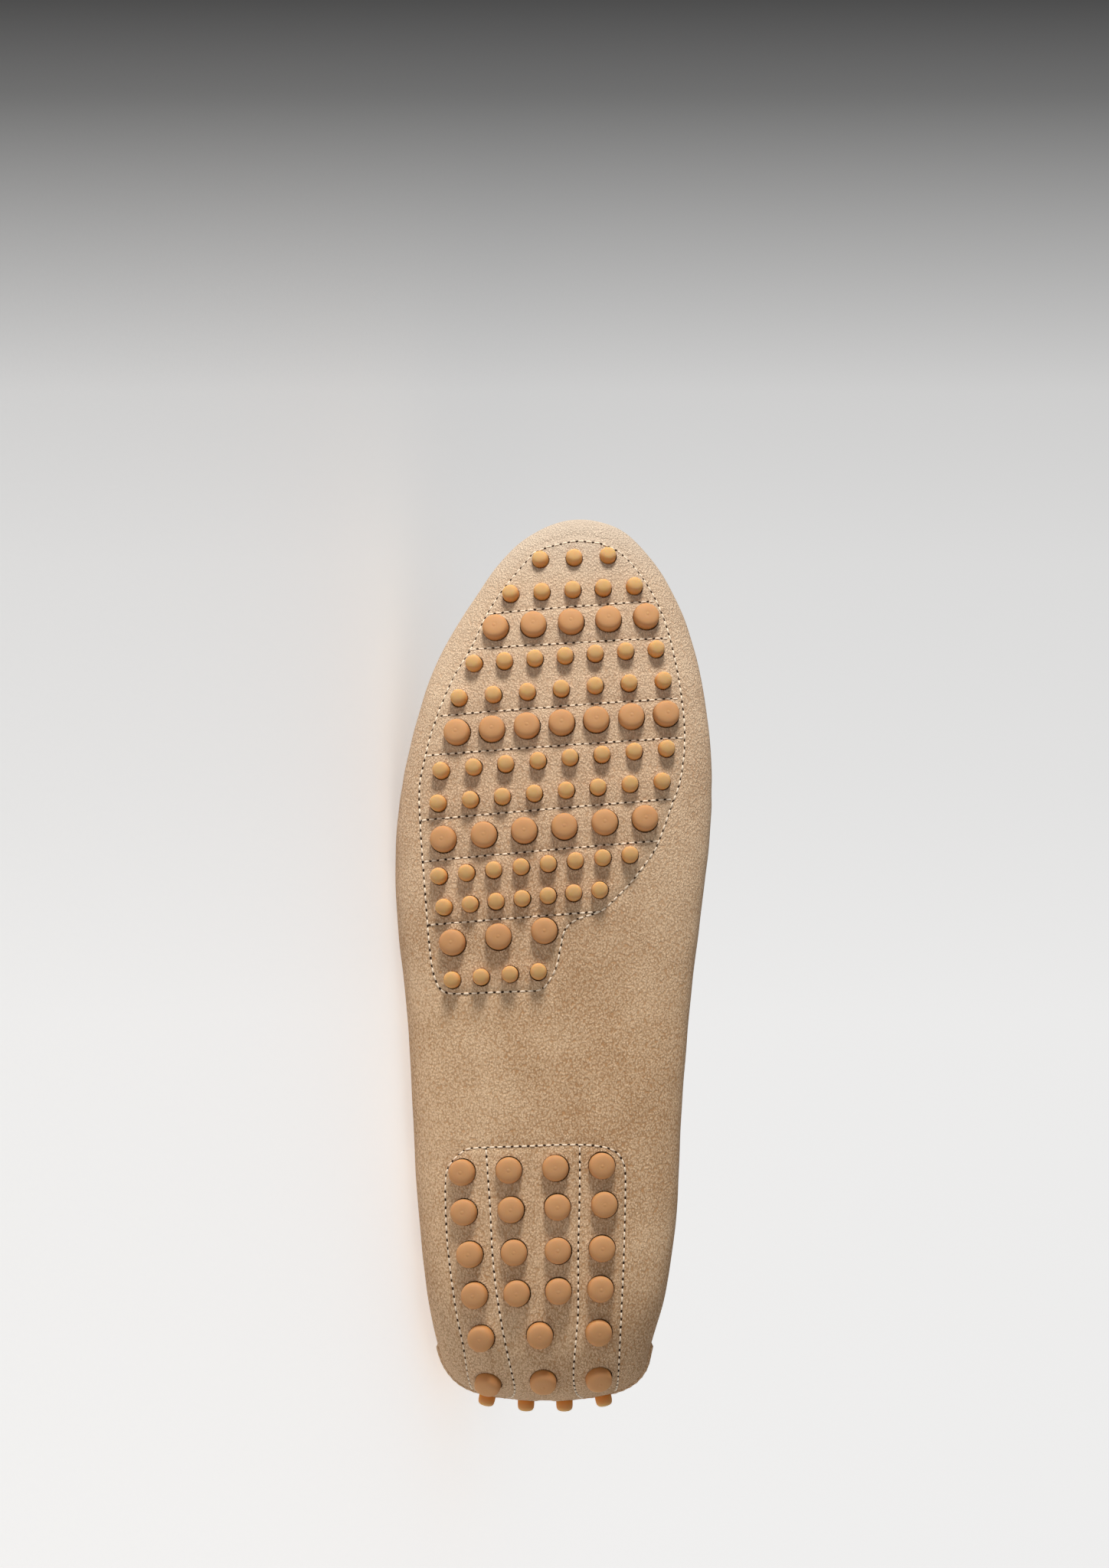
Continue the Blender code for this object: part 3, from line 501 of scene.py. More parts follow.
def grid_faces(rows, across, closed=False):
    """Quads of a grid of points, row by row."""
    j = np.arange(across if closed else across - 1)
    i = np.arange(rows - 1)[:, None]
    k = (j + 1) % across
    low, high = i * across, (i + 1) * across
    return np.stack([low + j, low + k, high + k, high + j], axis=-1).reshape(-1, 4)


class Shape:
    """Points, faces and a material number for each face, gathered part by part."""

    def __init__(self):
        self.points, self.faces, self.finish, self.values = [], [], [], []
        self.count = 0

    def add(self, points, faces, finish=0, values=None):
        points = np.asarray(points, dtype=float).reshape(-1, 3)
        faces = [tuple(int(n) + self.count for n in face) for face in faces]
        self.points.append(points)
        self.faces += faces
        self.finish += [finish] * len(faces)
        self.values.append(np.zeros(len(points)) if values is None else np.asarray(values, float).reshape(-1))
        self.count += len(points)

    def sheet(self, outside, inside, finish=0, back=None):
        """A closed sheet between two grids of points of the same shape."""
        rows, across = outside.shape[:2]
        size = rows * across
        faces = grid_faces(rows, across)
        edge = [i * across for i in range(rows)]
        rim = list(range(across)) + [e + across - 1 for e in edge[1:]]
        rim += list(range(size - 2, size - across - 1, -1)) + edge[-2:0:-1]
        self.add(outside, faces, finish)
        self.add(inside, faces[:, ::-1], finish if back is None else back)
        top, low = self.count - 2 * size, self.count - size
        for a, b in zip(rim, rim[1:] + rim[:1]):
            self.faces.append((top + b, top + a, low + a, low + b))
            self.finish.append(finish)

    def tubes(self, centres, normals, radii, sides=6, finish=0):
        """Bars along rows of centres, with their ends filled."""
        bars, rings = centres.shape[:2]
        run = unit(np.gradient(centres, axis=1))
        aside = unit(np.cross(run, normals))
        up = np.cross(aside, run)
        angle = full_turn(sides)
        wheel = aside[:, :, None] * np.cos(angle)[:, None] + up[:, :, None] * np.sin(angle)[:, None]
        radii = np.broadcast_to(np.asarray(radii, float), (bars, rings))
        points = centres[:, :, None] + wheel * radii[:, :, None, None]
        quads = grid_faces(rings, sides, closed=True)
        caps = [tuple(range(sides - 1, -1, -1)), tuple(range((rings - 1) * sides, rings * sides))]
        for bar in points:
            self.add(bar, [*map(tuple, quads), *caps], finish)

    def object(self, name, slot, finishes, replaces=()):
        """The mesh as a piece that rides on the shoe's body, laid down on the floor."""
        points = laid_down(np.concatenate(self.points))
        mesh = bpy.data.meshes.new(name)
        mesh.from_pydata(points.tolist(), [], self.faces)
        mesh.polygons.foreach_set("material_index", self.finish)
        rise = mesh.attributes.new("rise", "FLOAT", "POINT")
        rise.data.foreach_set("value", np.concatenate(self.values))
        mesh.shade_smooth()
        mesh.set_sharp_from_angle(angle=math.radians(50))
        return tie(name, mesh, slot, finishes, replaces)


def laid_down(points):
    """Points of the standing shoe laid on its side; what would reach into the floor is pressed up to it."""
    placed = points @ TURN.T + SHIFT
    placed[:, 2] = np.maximum(placed[:, 2], FLOOR_TOUCH)
    return placed


def stood_up(points):
    """The way back: points of the shoe on its side, as they are on the standing shoe."""
    return (points - SHIFT) @ TURN


def tie(name, mesh, slot, finishes, replaces=()):
    """A piece of the shoe: its object, its body and the solids that it stands for; its slot is not used."""
    for finish in finishes:
        mesh.materials.append(finish)
    item = bpy.data.objects.new(name, mesh)
    bpy.context.scene.collection.objects.link(item)
    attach(item, "root")
    if replaces:
        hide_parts(*replaces)
    return item


def even_path(points, step, closed=False):
    """A smooth path through points, with one point a step."""
    points = np.asarray(points, dtype=float)
    rows = np.vstack([points, points[:1]]) if closed else points
    before, after = (points[-1], points[1]) if closed else (None, None)
    at = np.linspace(0, len(rows) - 1, 16 * len(rows))
    curve = np.stack([
        spline(rows[:, k], at, None if before is None else before[k], None if after is None else after[k])
        for k in range(rows.shape[1])
    ], axis=-1)
    return resample(curve, step)


def run_of(path):
    """Length along a path at each of its points."""
    return np.concatenate([[0.0], np.cumsum(np.linalg.norm(np.diff(path, axis=0), axis=1))])


def resample(curve, step):
    """The same path with points an even step apart."""
    run = run_of(curve)
    count = max(int(round(run[-1] / step)), 1)
    at = np.linspace(0, run[-1], count + 1)
    return np.stack([np.interp(at, run, curve[:, k]) for k in range(curve.shape[1])], axis=-1)


def nearest(path):
    tree = KDTree(len(path))
    for i, p in enumerate(path):
        tree.insert(p, i)
    tree.balance()
    return tree


def distances(tree, points):
    """Distance to the nearest point of a tree, and its number."""
    found = [tree.find(p) for p in points]
    return np.array([f[2] for f in found]), np.array([f[1] for f in found])


def stitch_lines():
    """Every line of machine stitches in the bottom, as (path on the last, closed)."""
    found = []
    for plans, closed, place in (
        ([FOREPART_STITCHES], True, LAST.below),
        (CROSS_STITCHES, False, LAST.below),
        ([HEEL_STITCHES], True, LAST.heel),
        (HEEL_CHANNELS, False, LAST.heel),
    ):
        paths = [even_path(np.array(plan) * MM, STITCH_PATH_STEP, closed) for plan in plans]
        found += [(place(*path.T), closed) for path in paths]
    return found


def inside_outline(outline, x, y):
    """Whether each point of a plan lies inside a closed outline."""
    inside = np.zeros(x.shape, dtype=bool)
    for (ax, ay), (bx, by) in zip(outline, np.roll(outline, -1, axis=0)):
        crosses = (ay > y) != (by > y)
        with np.errstate(divide="ignore", invalid="ignore"):
            inside ^= crosses & (x < (bx - ax) * (y - ay) / (by - ay) + ax)
    return inside


def heel_run(points):
    """Distance along the bottom, going on round the heel and up its back."""
    y = points[:, 1]
    turn = np.arctan2(HEEL_CENTRE_Y - y, HEEL_CENTRE_Z - points[:, 2])
    return np.where(y < HEEL_CENTRE_Y, HEEL_CENTRE_Y - turn * HEEL_ROLL_RADIUS, y)


def seam_path(step=1.0 * MM):
    """Plan points along the apron's edge, outer side first, round its front and back."""
    along, half = table_curve(APRON, 60)
    y, half = along * LENGTH, half * APRON_WIDTH
    tip = y[-1] + 0.25 * half[-1]
    outer = np.stack([LAST.ridge(y) + half, y], axis=-1)
    inner = np.stack([LAST.ridge(y) - half, y], axis=-1)[::-1]
    return resample(np.vstack([outer, [[LAST.ridge(tip), tip]], inner]), step)


def beside_path(path, shift):
    """A plan path moved sideways; a positive shift lies outside the apron."""
    run = unit(np.gradient(path, axis=0))
    return path + np.stack([run[:, 1], -run[:, 0]], axis=-1) * np.asarray(shift)[..., None]


def crease_relief(points):
    """Soft troughs with a low ridge on both sides, along the listed creases."""
    relief = np.zeros(len(points))
    for side, depth, width, marks in CREASES:
        path = even_path(np.array(marks) * [LENGTH, MM], 2.0 * MM)
        if side:
            path = LAST.beside(path[:, 0], path[:, 1], side)
        else:
            path = LAST.above(LAST.ridge(path[:, 0]) + path[:, 1], path[:, 0])
        reach = 6 * width * MM
        near = np.all((points > path.min(axis=0) - reach) & (points < path.max(axis=0) + reach), axis=1)
        if not near.any():
            continue
        away, number = distances(nearest(path), points[near])
        share = number / (len(path) - 1)
        fade = np.sin(np.pi * np.clip(share, 0.04, 0.96)) ** 0.7
        trough = -np.exp(-((away / (width * MM)) ** 2))
        ridges = 0.45 * np.exp(-(((away - 1.9 * width * MM) / (1.1 * width * MM)) ** 2))
        relief[near] += depth * MM * fade * (trough + ridges)
    return relief


def gather_relief(points, pitch):
    """Small gathers of the vamp outside the hand-sewn seam, one to each stitch."""
    plan = seam_path(GATHER_STEP)
    path = LAST.above(plan[:, 0], plan[:, 1])
    away, number = distances(nearest(path), points)
    side = points[:, :2] - plan[number]
    run = unit(np.gradient(plan, axis=0))[number]
    outside = side[:, 0] * run[:, 1] - side[:, 1] * run[:, 0] > 0
    front = np.clip((points[:, 1] / LENGTH - 0.66) / 0.14, 0.0, 1.0)
    fade = np.exp(-np.clip(away - 2.0 * MM, 0, None) / (5.0 * MM)) * outside * front
    wave = np.cos(2 * np.pi * number * GATHER_STEP / pitch)
    return GATHER_RELIEF * fade * wave * (points[:, 2] > 0.5 * SIDE_HEIGHT)


def sole_relief(points, sizes):
    """Where the plates lift the suede, the stitch lines draw it in and the studs push it up."""
    relief = np.zeros(len(points))
    low = points[:, 2] < 2.0 * SIDE_HEIGHT
    low &= (points[:, 2] < LAST.read("side", points[:, 1]) + 2 * MM) | (points[:, 1] < 30 * MM)
    spots = points[low]
    lines = stitch_lines()
    every = nearest(np.concatenate([path for path, _ in lines]))
    away, _ = distances(every, spots)
    trough = -sizes.stitch_trough * np.exp(-((away / STITCH_TROUGH_WIDTH) ** 2))
    lift = np.zeros(len(spots))
    run = heel_run(spots)
    for outline, line in ((FOREPART_STITCHES, lines[0]), (HEEL_STITCHES, lines[1 + len(CROSS_STITCHES)])):
        outline = even_path(np.array(outline) * MM, 2.0 * MM, closed=True)
        inside = inside_outline(outline, spots[:, 0], run)
        edge, _ = distances(nearest(line[0]), spots)
        lift = np.maximum(lift, 0.5 + 0.5 * np.tanh(np.where(inside, edge, -edge) / (1.1 * MM)))
    studs = FOREPART + HEEL
    off, number = distances(nearest([s[1] for s in studs]), spots)
    radius = np.array([stud_radius(s[0]) for s in studs])[number] + sizes.hole_clearance
    rim = 0.30 * MM * np.exp(-(((off - radius - 0.2 * MM) / (0.9 * MM)) ** 2))
    relief[low] = trough + sizes.plate_relief * lift + rim
    return relief


def soft_relief(points):
    """The slow unevenness of a soft skin."""
    x, y, z = (points / MM).T
    wave = np.sin(x / 3.7 + 1.3 * np.sin(y / 7.9)) * np.sin(y / 4.3 + 0.8 * np.sin(z / 5.1))
    slow = np.sin(y / 13.0 + x / 9.0) * np.sin(z / 8.0 + x / 17.0)
    return (0.07 * wave + 0.16 * slow) * MM


def hole_centre(number, point, axis):
    """Middle of a stud's hole: the suede has slipped, one way under the ball and one under the heel."""
    turn = 0.8 * math.sin(2.3 * number)
    ahead = -1.0 if point[1] > 0.4 * LENGTH else 1.0
    c, s = math.cos(turn), math.sin(turn)
    slip = np.array([-c - ahead * s, ahead * c - s, 0.0])
    return point + unit(slip - axis * slip.dot(axis)) * HOLE_SLIP


def stud_radius(size):
    return (LARGE_STUD_DIAMETER if size == "large" else SMALL_STUD_DIAMETER) / 2


def last_shell(depth, rings, low, high):
    """The closed last at a depth: points ring by ring with a pole at each end, and faces. low and high are
    the number of steps in each lower and upper quarter of a ring."""
    width = np.maximum(np.abs(np.diff(LAST.outer)), np.abs(np.diff(LAST.inner)))
    tall = np.maximum(np.abs(np.diff(LAST.under)), np.abs(np.diff(LAST.crown)))
    run = np.concatenate([[0.0], np.cumsum(np.hypot(np.diff(LAST.along), np.maximum(width, tall)))])
    y = np.interp(np.linspace(0, run[-1], rings + 2)[1:-1], run, LAST.along)
    quarters = []
    for first, steps in ((0, high), (1, high), (2, low), (3, low)):
        angle = (first + np.linspace(0, 1, 121)) * np.pi / 2
        c, s = np.cos(angle), np.sin(angle)
        c[np.abs(c) < END], s[np.abs(s) < END] = 0.0, 0.0
        upper, outer = first < 2, first in (0, 3)
        centre, half, mount, power, lean = (v[:, None] for v in LAST.quarter(y, outer, upper))
        rise = mount * np.abs(s) ** (2 / power)
        x = centre + (1 if outer else -1) * (half - lean * rise) * np.abs(c) ** (2 / power)
        z = LAST.read("side", y)[:, None] + (1 if upper else -1) * rise
        length = np.cumsum(np.hypot(np.diff(x), np.diff(z)), axis=1)
        length = np.hstack([np.zeros((len(y), 1)), length])
        at = np.linspace(0, 1, steps + 1)[:-1]
        quarters.append(np.stack([
            np.stack([np.interp(at * l[-1], l, a), np.full(steps, yy), np.interp(at * l[-1], l, b)], axis=-1)
            for l, a, b, yy in zip(length, x, z, y)
        ]))
    points = np.concatenate(quarters, axis=1)
    across = points.shape[1]
    points = points.reshape(-1, 3)
    points = points - LAST.normal(points) * depth
    faces = [tuple(f) for f in grid_faces(rings, across, closed=True)]
    for ring, end, shift in ((0, 0.0, depth), (rings - 1, LENGTH, -depth)):
        pole = len(points)
        points = np.vstack([points, [LAST.middle(end), end + shift, LAST.read("side", end)]])
        for j in range(across):
            a, b = ring * across + j, ring * across + (j + 1) % across
            faces.append((pole, a, b) if ring else (pole, b, a))
    return points, faces


def helper(name, points, faces):
    """An object that only cuts another one, and is thrown away after it."""
    mesh = bpy.data.meshes.new(name)
    mesh.from_pydata(np.asarray(points).tolist(), [], [tuple(int(n) for n in f) for f in faces])
    item = bpy.data.objects.new(name, mesh)
    bpy.context.scene.collection.objects.link(item)
    return item


def posts(clearance):
    """Round posts through the suede, one to each stud."""
    angle, ring = full_turn(HOLE_SIDES), range(HOLE_SIDES)
    walls = grid_faces(2, HOLE_SIDES, closed=True)
    points, faces = [], []
    for number, (size, point, axis) in enumerate(FOREPART + HEEL):
        point = hole_centre(number, point, axis)
        wheel = wheel_round(axis, angle) * (stud_radius(size) + clearance)
        first = len(points)
        points += [*(point + wheel - axis * 2 * WALL), *(point + wheel + axis * WALL)]
        faces += (walls + first).tolist()
        faces.append([first + k for k in reversed(ring)])
        faces.append([first + HOLE_SIDES + k for k in ring])
    return points, faces


def collar_cutter():
    """Everything above the topline, right across the shoe."""
    along, height = table_curve(TOPLINE, 120)
    line = np.stack([along * LENGTH, height * COLLAR_HEIGHT], axis=-1)
    above = 2 * INSTEP_HEIGHT
    outline = np.vstack([line, [[line[-1, 0], above], [line[0, 0], above]]])
    count = len(outline)
    points = [(side * BALL_WIDTH, y, z) for side in (-1, 1) for y, z in outline]
    faces = [tuple(reversed(range(count))), tuple(range(count, 2 * count))]
    faces += [(k, (k + 1) % count, count + (k + 1) % count, count + k) for k in range(count)]
    return points, faces


def outward(item):
    """Turns the faces of a closed mesh outwards."""
    shell = bmesh.new()
    shell.from_mesh(item.data)
    bmesh.ops.recalc_face_normals(shell, faces=shell.faces)
    shell.to_mesh(item.data)
    shell.free()


def puffed(points):
    """The points of the toe moved out to where its soft tip bulges."""
    share = np.clip((points[:, 1] / LENGTH - TOE_PUFF_START) / (1.0 - TOE_PUFF_START), 0.0, 1.0)
    return points + np.array([0.0, TOE_PUFF, 0.0]) * (share**2 * (3 - 2 * share))[:, None]


def make_upper(sizes, colours):
    """Suede upper and bottom in one wrap, with its punched holes, its collar and its lining."""
    points, faces = last_shell(0.0, sizes.suede_rings, sizes.suede_columns, sizes.suede_columns * 5 // 8)
    lift = sole_relief(points, sizes) + crease_relief(points) + gather_relief(points, sizes.hand_stitch_pitch)
    lift += soft_relief(points)
    points = puffed(points + LAST.normal(points) * lift[:, None])
    body = helper("suede_body", points, faces)
    space, space_faces = last_shell(WALL, 90, 24, 24)
    cutters = [
        helper("foot_space", puffed(space), space_faces),
        helper("collar_space", *collar_cutter()),
        helper("stud_space", *posts(sizes.hole_clearance)),
    ]
    for item in (body, *cutters):
        outward(item)
    for cutter in cutters:
        modifier = body.modifiers.new(cutter.name, "BOOLEAN")
        modifier.operation, modifier.object, modifier.solver = "DIFFERENCE", cutter, "MANIFOLD"
    bpy.context.view_layer.update()
    cut = bpy.data.meshes.new_from_object(body.evaluated_get(bpy.context.evaluated_depsgraph_get()))
    for item in (body, *cutters):
        bpy.data.objects.remove(item, do_unlink=True)
    if len(cut.polygons) < 1000:
        raise RuntimeError("the suede was cut away whole; its foot space and its holes need a closed mesh")
    finish_upper(cut, sizes, colours)


def finish_upper(mesh, sizes, colours):
    """Gives the cut suede its finishes: nap outside, fibres in the cuts, lining inside."""
    centres = np.empty(len(mesh.polygons) * 3)
    mesh.polygons.foreach_get("center", centres)
    centres = centres.reshape(-1, 3)
    studs = FOREPART + HEEL
    holes = np.array([hole_centre(i, s[1], s[2]) for i, s in enumerate(studs)])
    _, number = distances(nearest(holes), centres)
    point, axis = holes[number], np.array([s[2] for s in studs])[number]
    off = centres - point
    radius = np.array([stud_radius(s[0]) for s in studs])[number] + sizes.hole_clearance
    aside = np.linalg.norm(off - axis * np.einsum("ij,ij->i", off, axis)[:, None], axis=1)
    step = LAST.normal(centres) * 1.2 * MM
    buried = LAST.measure(centres + step) < 0.0
    finish = np.where(buried, 2, 0)
    along = np.abs(np.einsum("ij,ij->i", off, axis))
    finish[(aside < radius + 0.03 * MM) & (along < 2 * WALL) & (LAST.measure(centres) < 0)] = 1
    coordinates = np.empty(len(mesh.vertices) * 3)
    mesh.vertices.foreach_get("co", coordinates)
    mesh.vertices.foreach_set("co", laid_down(coordinates.reshape(-1, 3)).reshape(-1))
    mesh.materials.clear()
    mesh.polygons.foreach_set("material_index", finish.astype(np.int32))
    mesh.shade_smooth()
    mesh.set_sharp_from_angle(angle=math.radians(42))
    mesh.name = "suede_upper"
    finishes = [suede("upper_suede", sizes, colours), cut_suede(colours), lining(colours)]
    tie("suede_upper", mesh, "suede", finishes, ["upper"])


def skin_tree(name="suede_upper"):
    item = bpy.data.objects.get(name)
    if item is None:
        raise RuntimeError(name + " comes first: the piece lies on it")
    points = np.empty(len(item.data.vertices) * 3)
    item.data.vertices.foreach_get("co", points)
    faces = [tuple(face.vertices) for face in item.data.polygons]
    return BVHTree.FromPolygons(stood_up(points.reshape(-1, 3)).tolist(), faces)


def snap(tree, points, normals=None):
    """Points moved along the last's normals onto a finished skin."""
    points = np.asarray(points)
    normals = LAST.normal(points) if normals is None else normals
    moved, facing = points.copy(), normals.copy()
    for i in np.ndindex(points.shape[:-1]):
        start, aim = Vector(points[i] + normals[i] * 4 * MM), Vector(-normals[i])
        place, normal, _, _ = tree.ray_cast(start, aim, 7 * MM)
        if place is not None:
            moved[i] = place
            facing[i] = normals[i]
    return moved, facing


def along_path(path, closed, pitch):
    """Stitch by stitch: a function that reads the path at a share of a stitch, and the number of stitches."""
    path = np.vstack([path, path[:1]]) if closed else path
    run = run_of(path)
    count = max(int(round(run[-1] / pitch)), 1)

    def read(share):
        at = (np.arange(count)[:, None] + np.asarray(share, float)[None, :]) * run[-1] / count
        return np.stack([np.interp(at, run, path[:, k]) for k in range(3)], axis=-1)

    return read, count


def machine_stitches(shape, hole_shades, tree, path, closed, sizes):
    """Threads, and flat spots of painted shade for the needle holes, along one line."""
    read, count = along_path(path, closed, sizes.stitch_pitch)
    centres, normals = snap(tree, read([0.13, 0.28, 0.5, 0.72, 0.87]))
    lift = np.array([-0.35, 0.06, 0.14, 0.06, -0.35]) * MM
    radius = sizes.thread_thickness / 2
    shape.tubes(centres + normals * lift[:, None], normals, radius * np.array([0.6, 1.0, 1.05, 1.0, 0.6]))
    centres, normals = snap(tree, read([0.0]))
    run = unit(read([0.06])[:, 0] - read([-0.06 if not closed else 0.0])[:, 0])
    angle = full_turn(8)
    long, wide = sizes.needle_hole * 0.5, sizes.needle_hole * 0.34
    for i in range(count):
        aside = unit(np.cross(run[i], normals[i, 0]))
        spin = 0.35 * math.sin(2.4 * i)
        ahead = run[i] * math.cos(spin) + aside * math.sin(spin)
        across = aside * math.cos(spin) - run[i] * math.sin(spin)
        # Each needle hole is a flat dark spot just over the suede: painted shade where the hole would be.
        ring = centres[i, 0] + ahead * (long * np.cos(angle))[:, None]
        ring = ring + across * (wide * np.sin(angle))[:, None]
        hole_shades.add(ring + normals[i, 0] * 0.07 * MM, [tuple(range(8))])


def sew(name, slot, tree, lines, sizes, colours):
    """Sews lines on a skin: one piece of threads, and one of flat spots of painted shade for the needle
    holes.
    """
    threads, hole_shades = Shape(), Shape()
    for path, closed in lines:
        machine_stitches(threads, hole_shades, tree, path, closed, sizes)
    threads.object(name + "_threads", slot, [thread(colours)])
    hole_shades.object(name + "_needle_hole_shades", slot, [needle_hole(colours)])


def make_sole_stitches(sizes, colours):
    """All machine stitches of the bottom."""
    sew("sole", "suede", skin_tree(), stitch_lines(), sizes, colours)


def make_hole_fibres(sizes, colours):
    """Loose fibres of suede that stand in from the rim of every punched hole."""
    tree = skin_tree()
    shape = Shape()
    fibres = np.arange(FIBRES_PER_HOLE)
    for number, (size, point, axis) in enumerate(FOREPART + HEEL):
        point = hole_centre(number, point, axis)
        angle = 2 * np.pi * (fibres + 0.45 * np.sin(7.1 * fibres + number)) / FIBRES_PER_HOLE
        radius = stud_radius(size) + sizes.hole_clearance
        out = wheel_round(axis, angle)
        base, _ = snap(tree, point + out * (radius + 0.18 * MM), np.broadcast_to(axis, out.shape))
        reach = (0.28 + 0.26 * np.abs(np.sin(3.3 * fibres + 1.7 * number))) * MM
        lift = (0.05 + 0.16 * np.sin(5.7 * fibres + number)) * MM
        tip = base - out * reach[:, None] * 1.5 + axis * lift[:, None]
        aside = np.cross(axis, out) * 0.09 * MM
        for k in fibres:
            shape.add([base[k] + aside[k], base[k] - aside[k], tip[k]], [(0, 1, 2)])
    shape.object("hole_fibres", "suede", [fibre(colours)])


def lathe(shape, point, axis, profile, sides, finish):
    """A round post along axis through (radius, height) pairs, closed by a point at its tip."""
    wheel = wheel_round(axis, full_turn(sides))
    rings = point + wheel * profile[:, 0, None, None] + axis * profile[:, 1, None, None]
    points = np.vstack([rings.reshape(-1, 3), point + axis * profile[-1, 1]])
    faces = [tuple(f) for f in grid_faces(len(profile), sides, closed=True)]
    last = (len(profile) - 1) * sides
    faces += [(last + k, last + (k + 1) % sides, len(points) - 1) for k in range(sides)]
    values = np.append(np.repeat(profile[:, 1], sides), profile[-1, 1]) / STUD_HEIGHT
    shape.add(points, faces, finish, values)


# Profiles of the studs in mm: radius, height over the suede.
LARGE_STUD = [
    (4.25, -3.1), (4.25, 1.5), (4.22, 2.1), (4.12, 2.65), (3.92, 3.08), (3.6, 3.4), (3.15, 3.63), (2.6, 3.79),
    (2.0, 3.89), (1.4, 3.95), (0.82, 3.96), (0.62, 3.93), (0.42, 4.0), (0.2, 4.05),
]
SMALL_STUD = [
    (2.7, -3.1), (2.69, 1.5), (2.66, 2.2), (2.56, 2.8), (2.36, 3.25), (2.02, 3.58), (1.55, 3.81),
    (1.0, 3.94), (0.45, 4.0),
]


def stud_shape(places, sheet):
    shape = Shape()
    shape.sheet(*sheet)
    for size, point, axis in places:
        profile, sides, finish = (LARGE_STUD, 32, 0) if size == "large" else (SMALL_STUD, 24, 1)
        lathe(shape, point, axis, np.array(profile) * MM, sides, finish)
    return shape


def plate_sheet(table, rows, across, depths, turned=False):
    """A sheet under the foot between two depths, with its edge given in plan."""
    curve = table_curve(table, rows)
    y, outer, inner = curve[0] * LENGTH, curve[-2] * BALL_WIDTH, curve[-1] * BALL_WIDTH
    share = np.linspace(0, 1, across)
    x = outer[:, None] + (inner - outer)[:, None] * share
    y = y[:, None]
    if not turned:
        return [LAST.below(x, y, depth) for depth in depths]
    turn = np.radians(curve[1])[:, None]
    start = points_at(x, y, HEEL_CENTRE_Z)
    aim = points_at(0.0, -np.sin(turn), -np.cos(turn))
    return [LAST.skin(start, aim, depth) for depth in depths]


PLATE_DEPTHS = (WALL + PLATE_CLEARANCE, WALL + PLATE_CLEARANCE + PLATE_THICKNESS)


def make_forepart_rubber(sizes, colours):
    shape = stud_shape(FOREPART, plate_sheet(FOREPART_PLATE, 40, 22, PLATE_DEPTHS))
    shape.object("forepart_rubber", "stud_rubber", rubbers(colours), ["forepart_studs"])


def make_heel_rubber(sizes, colours):
    shape = stud_shape(HEEL, plate_sheet(HEEL_PLATE, 40, 18, PLATE_DEPTHS, turned=True))
    shape.object("heel_rubber", "stud_rubber", rubbers(colours), ["heel_studs"])


def make_insole(sizes, colours):
    """Sock on its board, pressed in a little under the ball and the heel."""
    top = PLATE_DEPTHS[1] + INSOLE_CLEARANCE
    low, high = plate_sheet(INSOLE, 110, 44, (top, top + INSOLE_THICKNESS))
    x, y = high[..., 0] / BALL_WIDTH, high[..., 1] / LENGTH
    ball = np.exp(-(((x + 0.04) / 0.24) ** 2) - ((y - 0.70) / 0.10) ** 2)
    heel = np.exp(-((x / 0.18) ** 2) - ((y - 0.17) / 0.09) ** 2)
    high = high - np.array([0.0, 0, 0.7 * MM]) * (ball + heel)[..., None]
    shape = Shape()
    shape.sheet(low, high, 1, back=0)
    shape.object("insole_sock", "lining", [sock(colours), lining(colours)], ["insole"])


def make_heel_lining(sizes, colours):
    """Thin lining leather over the heel plate, pared down to the wall at its edges."""
    rows, across = 70, 44
    curve = table_curve(HEEL_LINING, rows)
    wide = (curve[2] - curve[3])[:, None] * BALL_WIDTH
    share = np.linspace(0, 1, across)[None, :]
    end = (curve[1][-1] - curve[1])[:, None] * math.radians(1) * HEEL_ROLL_RADIUS
    away = np.minimum(np.minimum(share, 1 - share) * wide, end + 0 * share)
    rise = np.clip(away / LINING_SLOPE, 0.0, 1.0)
    cover = PLATE_CLEARANCE + PLATE_THICKNESS + 0.4 * MM
    inner = WALL + 0.12 * MM + (cover - 0.12 * MM) * rise**2 * (3 - 2 * rise)
    shape = Shape()
    shape.sheet(*plate_sheet(HEEL_LINING, rows, across, (inner - LINING_THICKNESS, inner), turned=True))
    shape.object("heel_lining", "lining", [lining(colours)])


def rounded(outside_depth, away, thickness):
    """Depth of an overlay that rolls down to its edge, from the distance to the edge."""
    share = np.clip(away / (1.1 * thickness), 0.0, 1.0)
    return outside_depth + thickness * (1.0 - np.sqrt(1.0 - (1.0 - share) ** 2)) * 0.85


def raised(points, *reliefs):
    """A grid of points moved along the last's normals by reliefs, and the normals."""
    flat = points.reshape(-1, 3)
    normals = LAST.normal(flat)
    lift = sum(relief(flat) for relief in reliefs)
    return (flat + normals * lift[:, None]).reshape(points.shape), normals.reshape(points.shape)


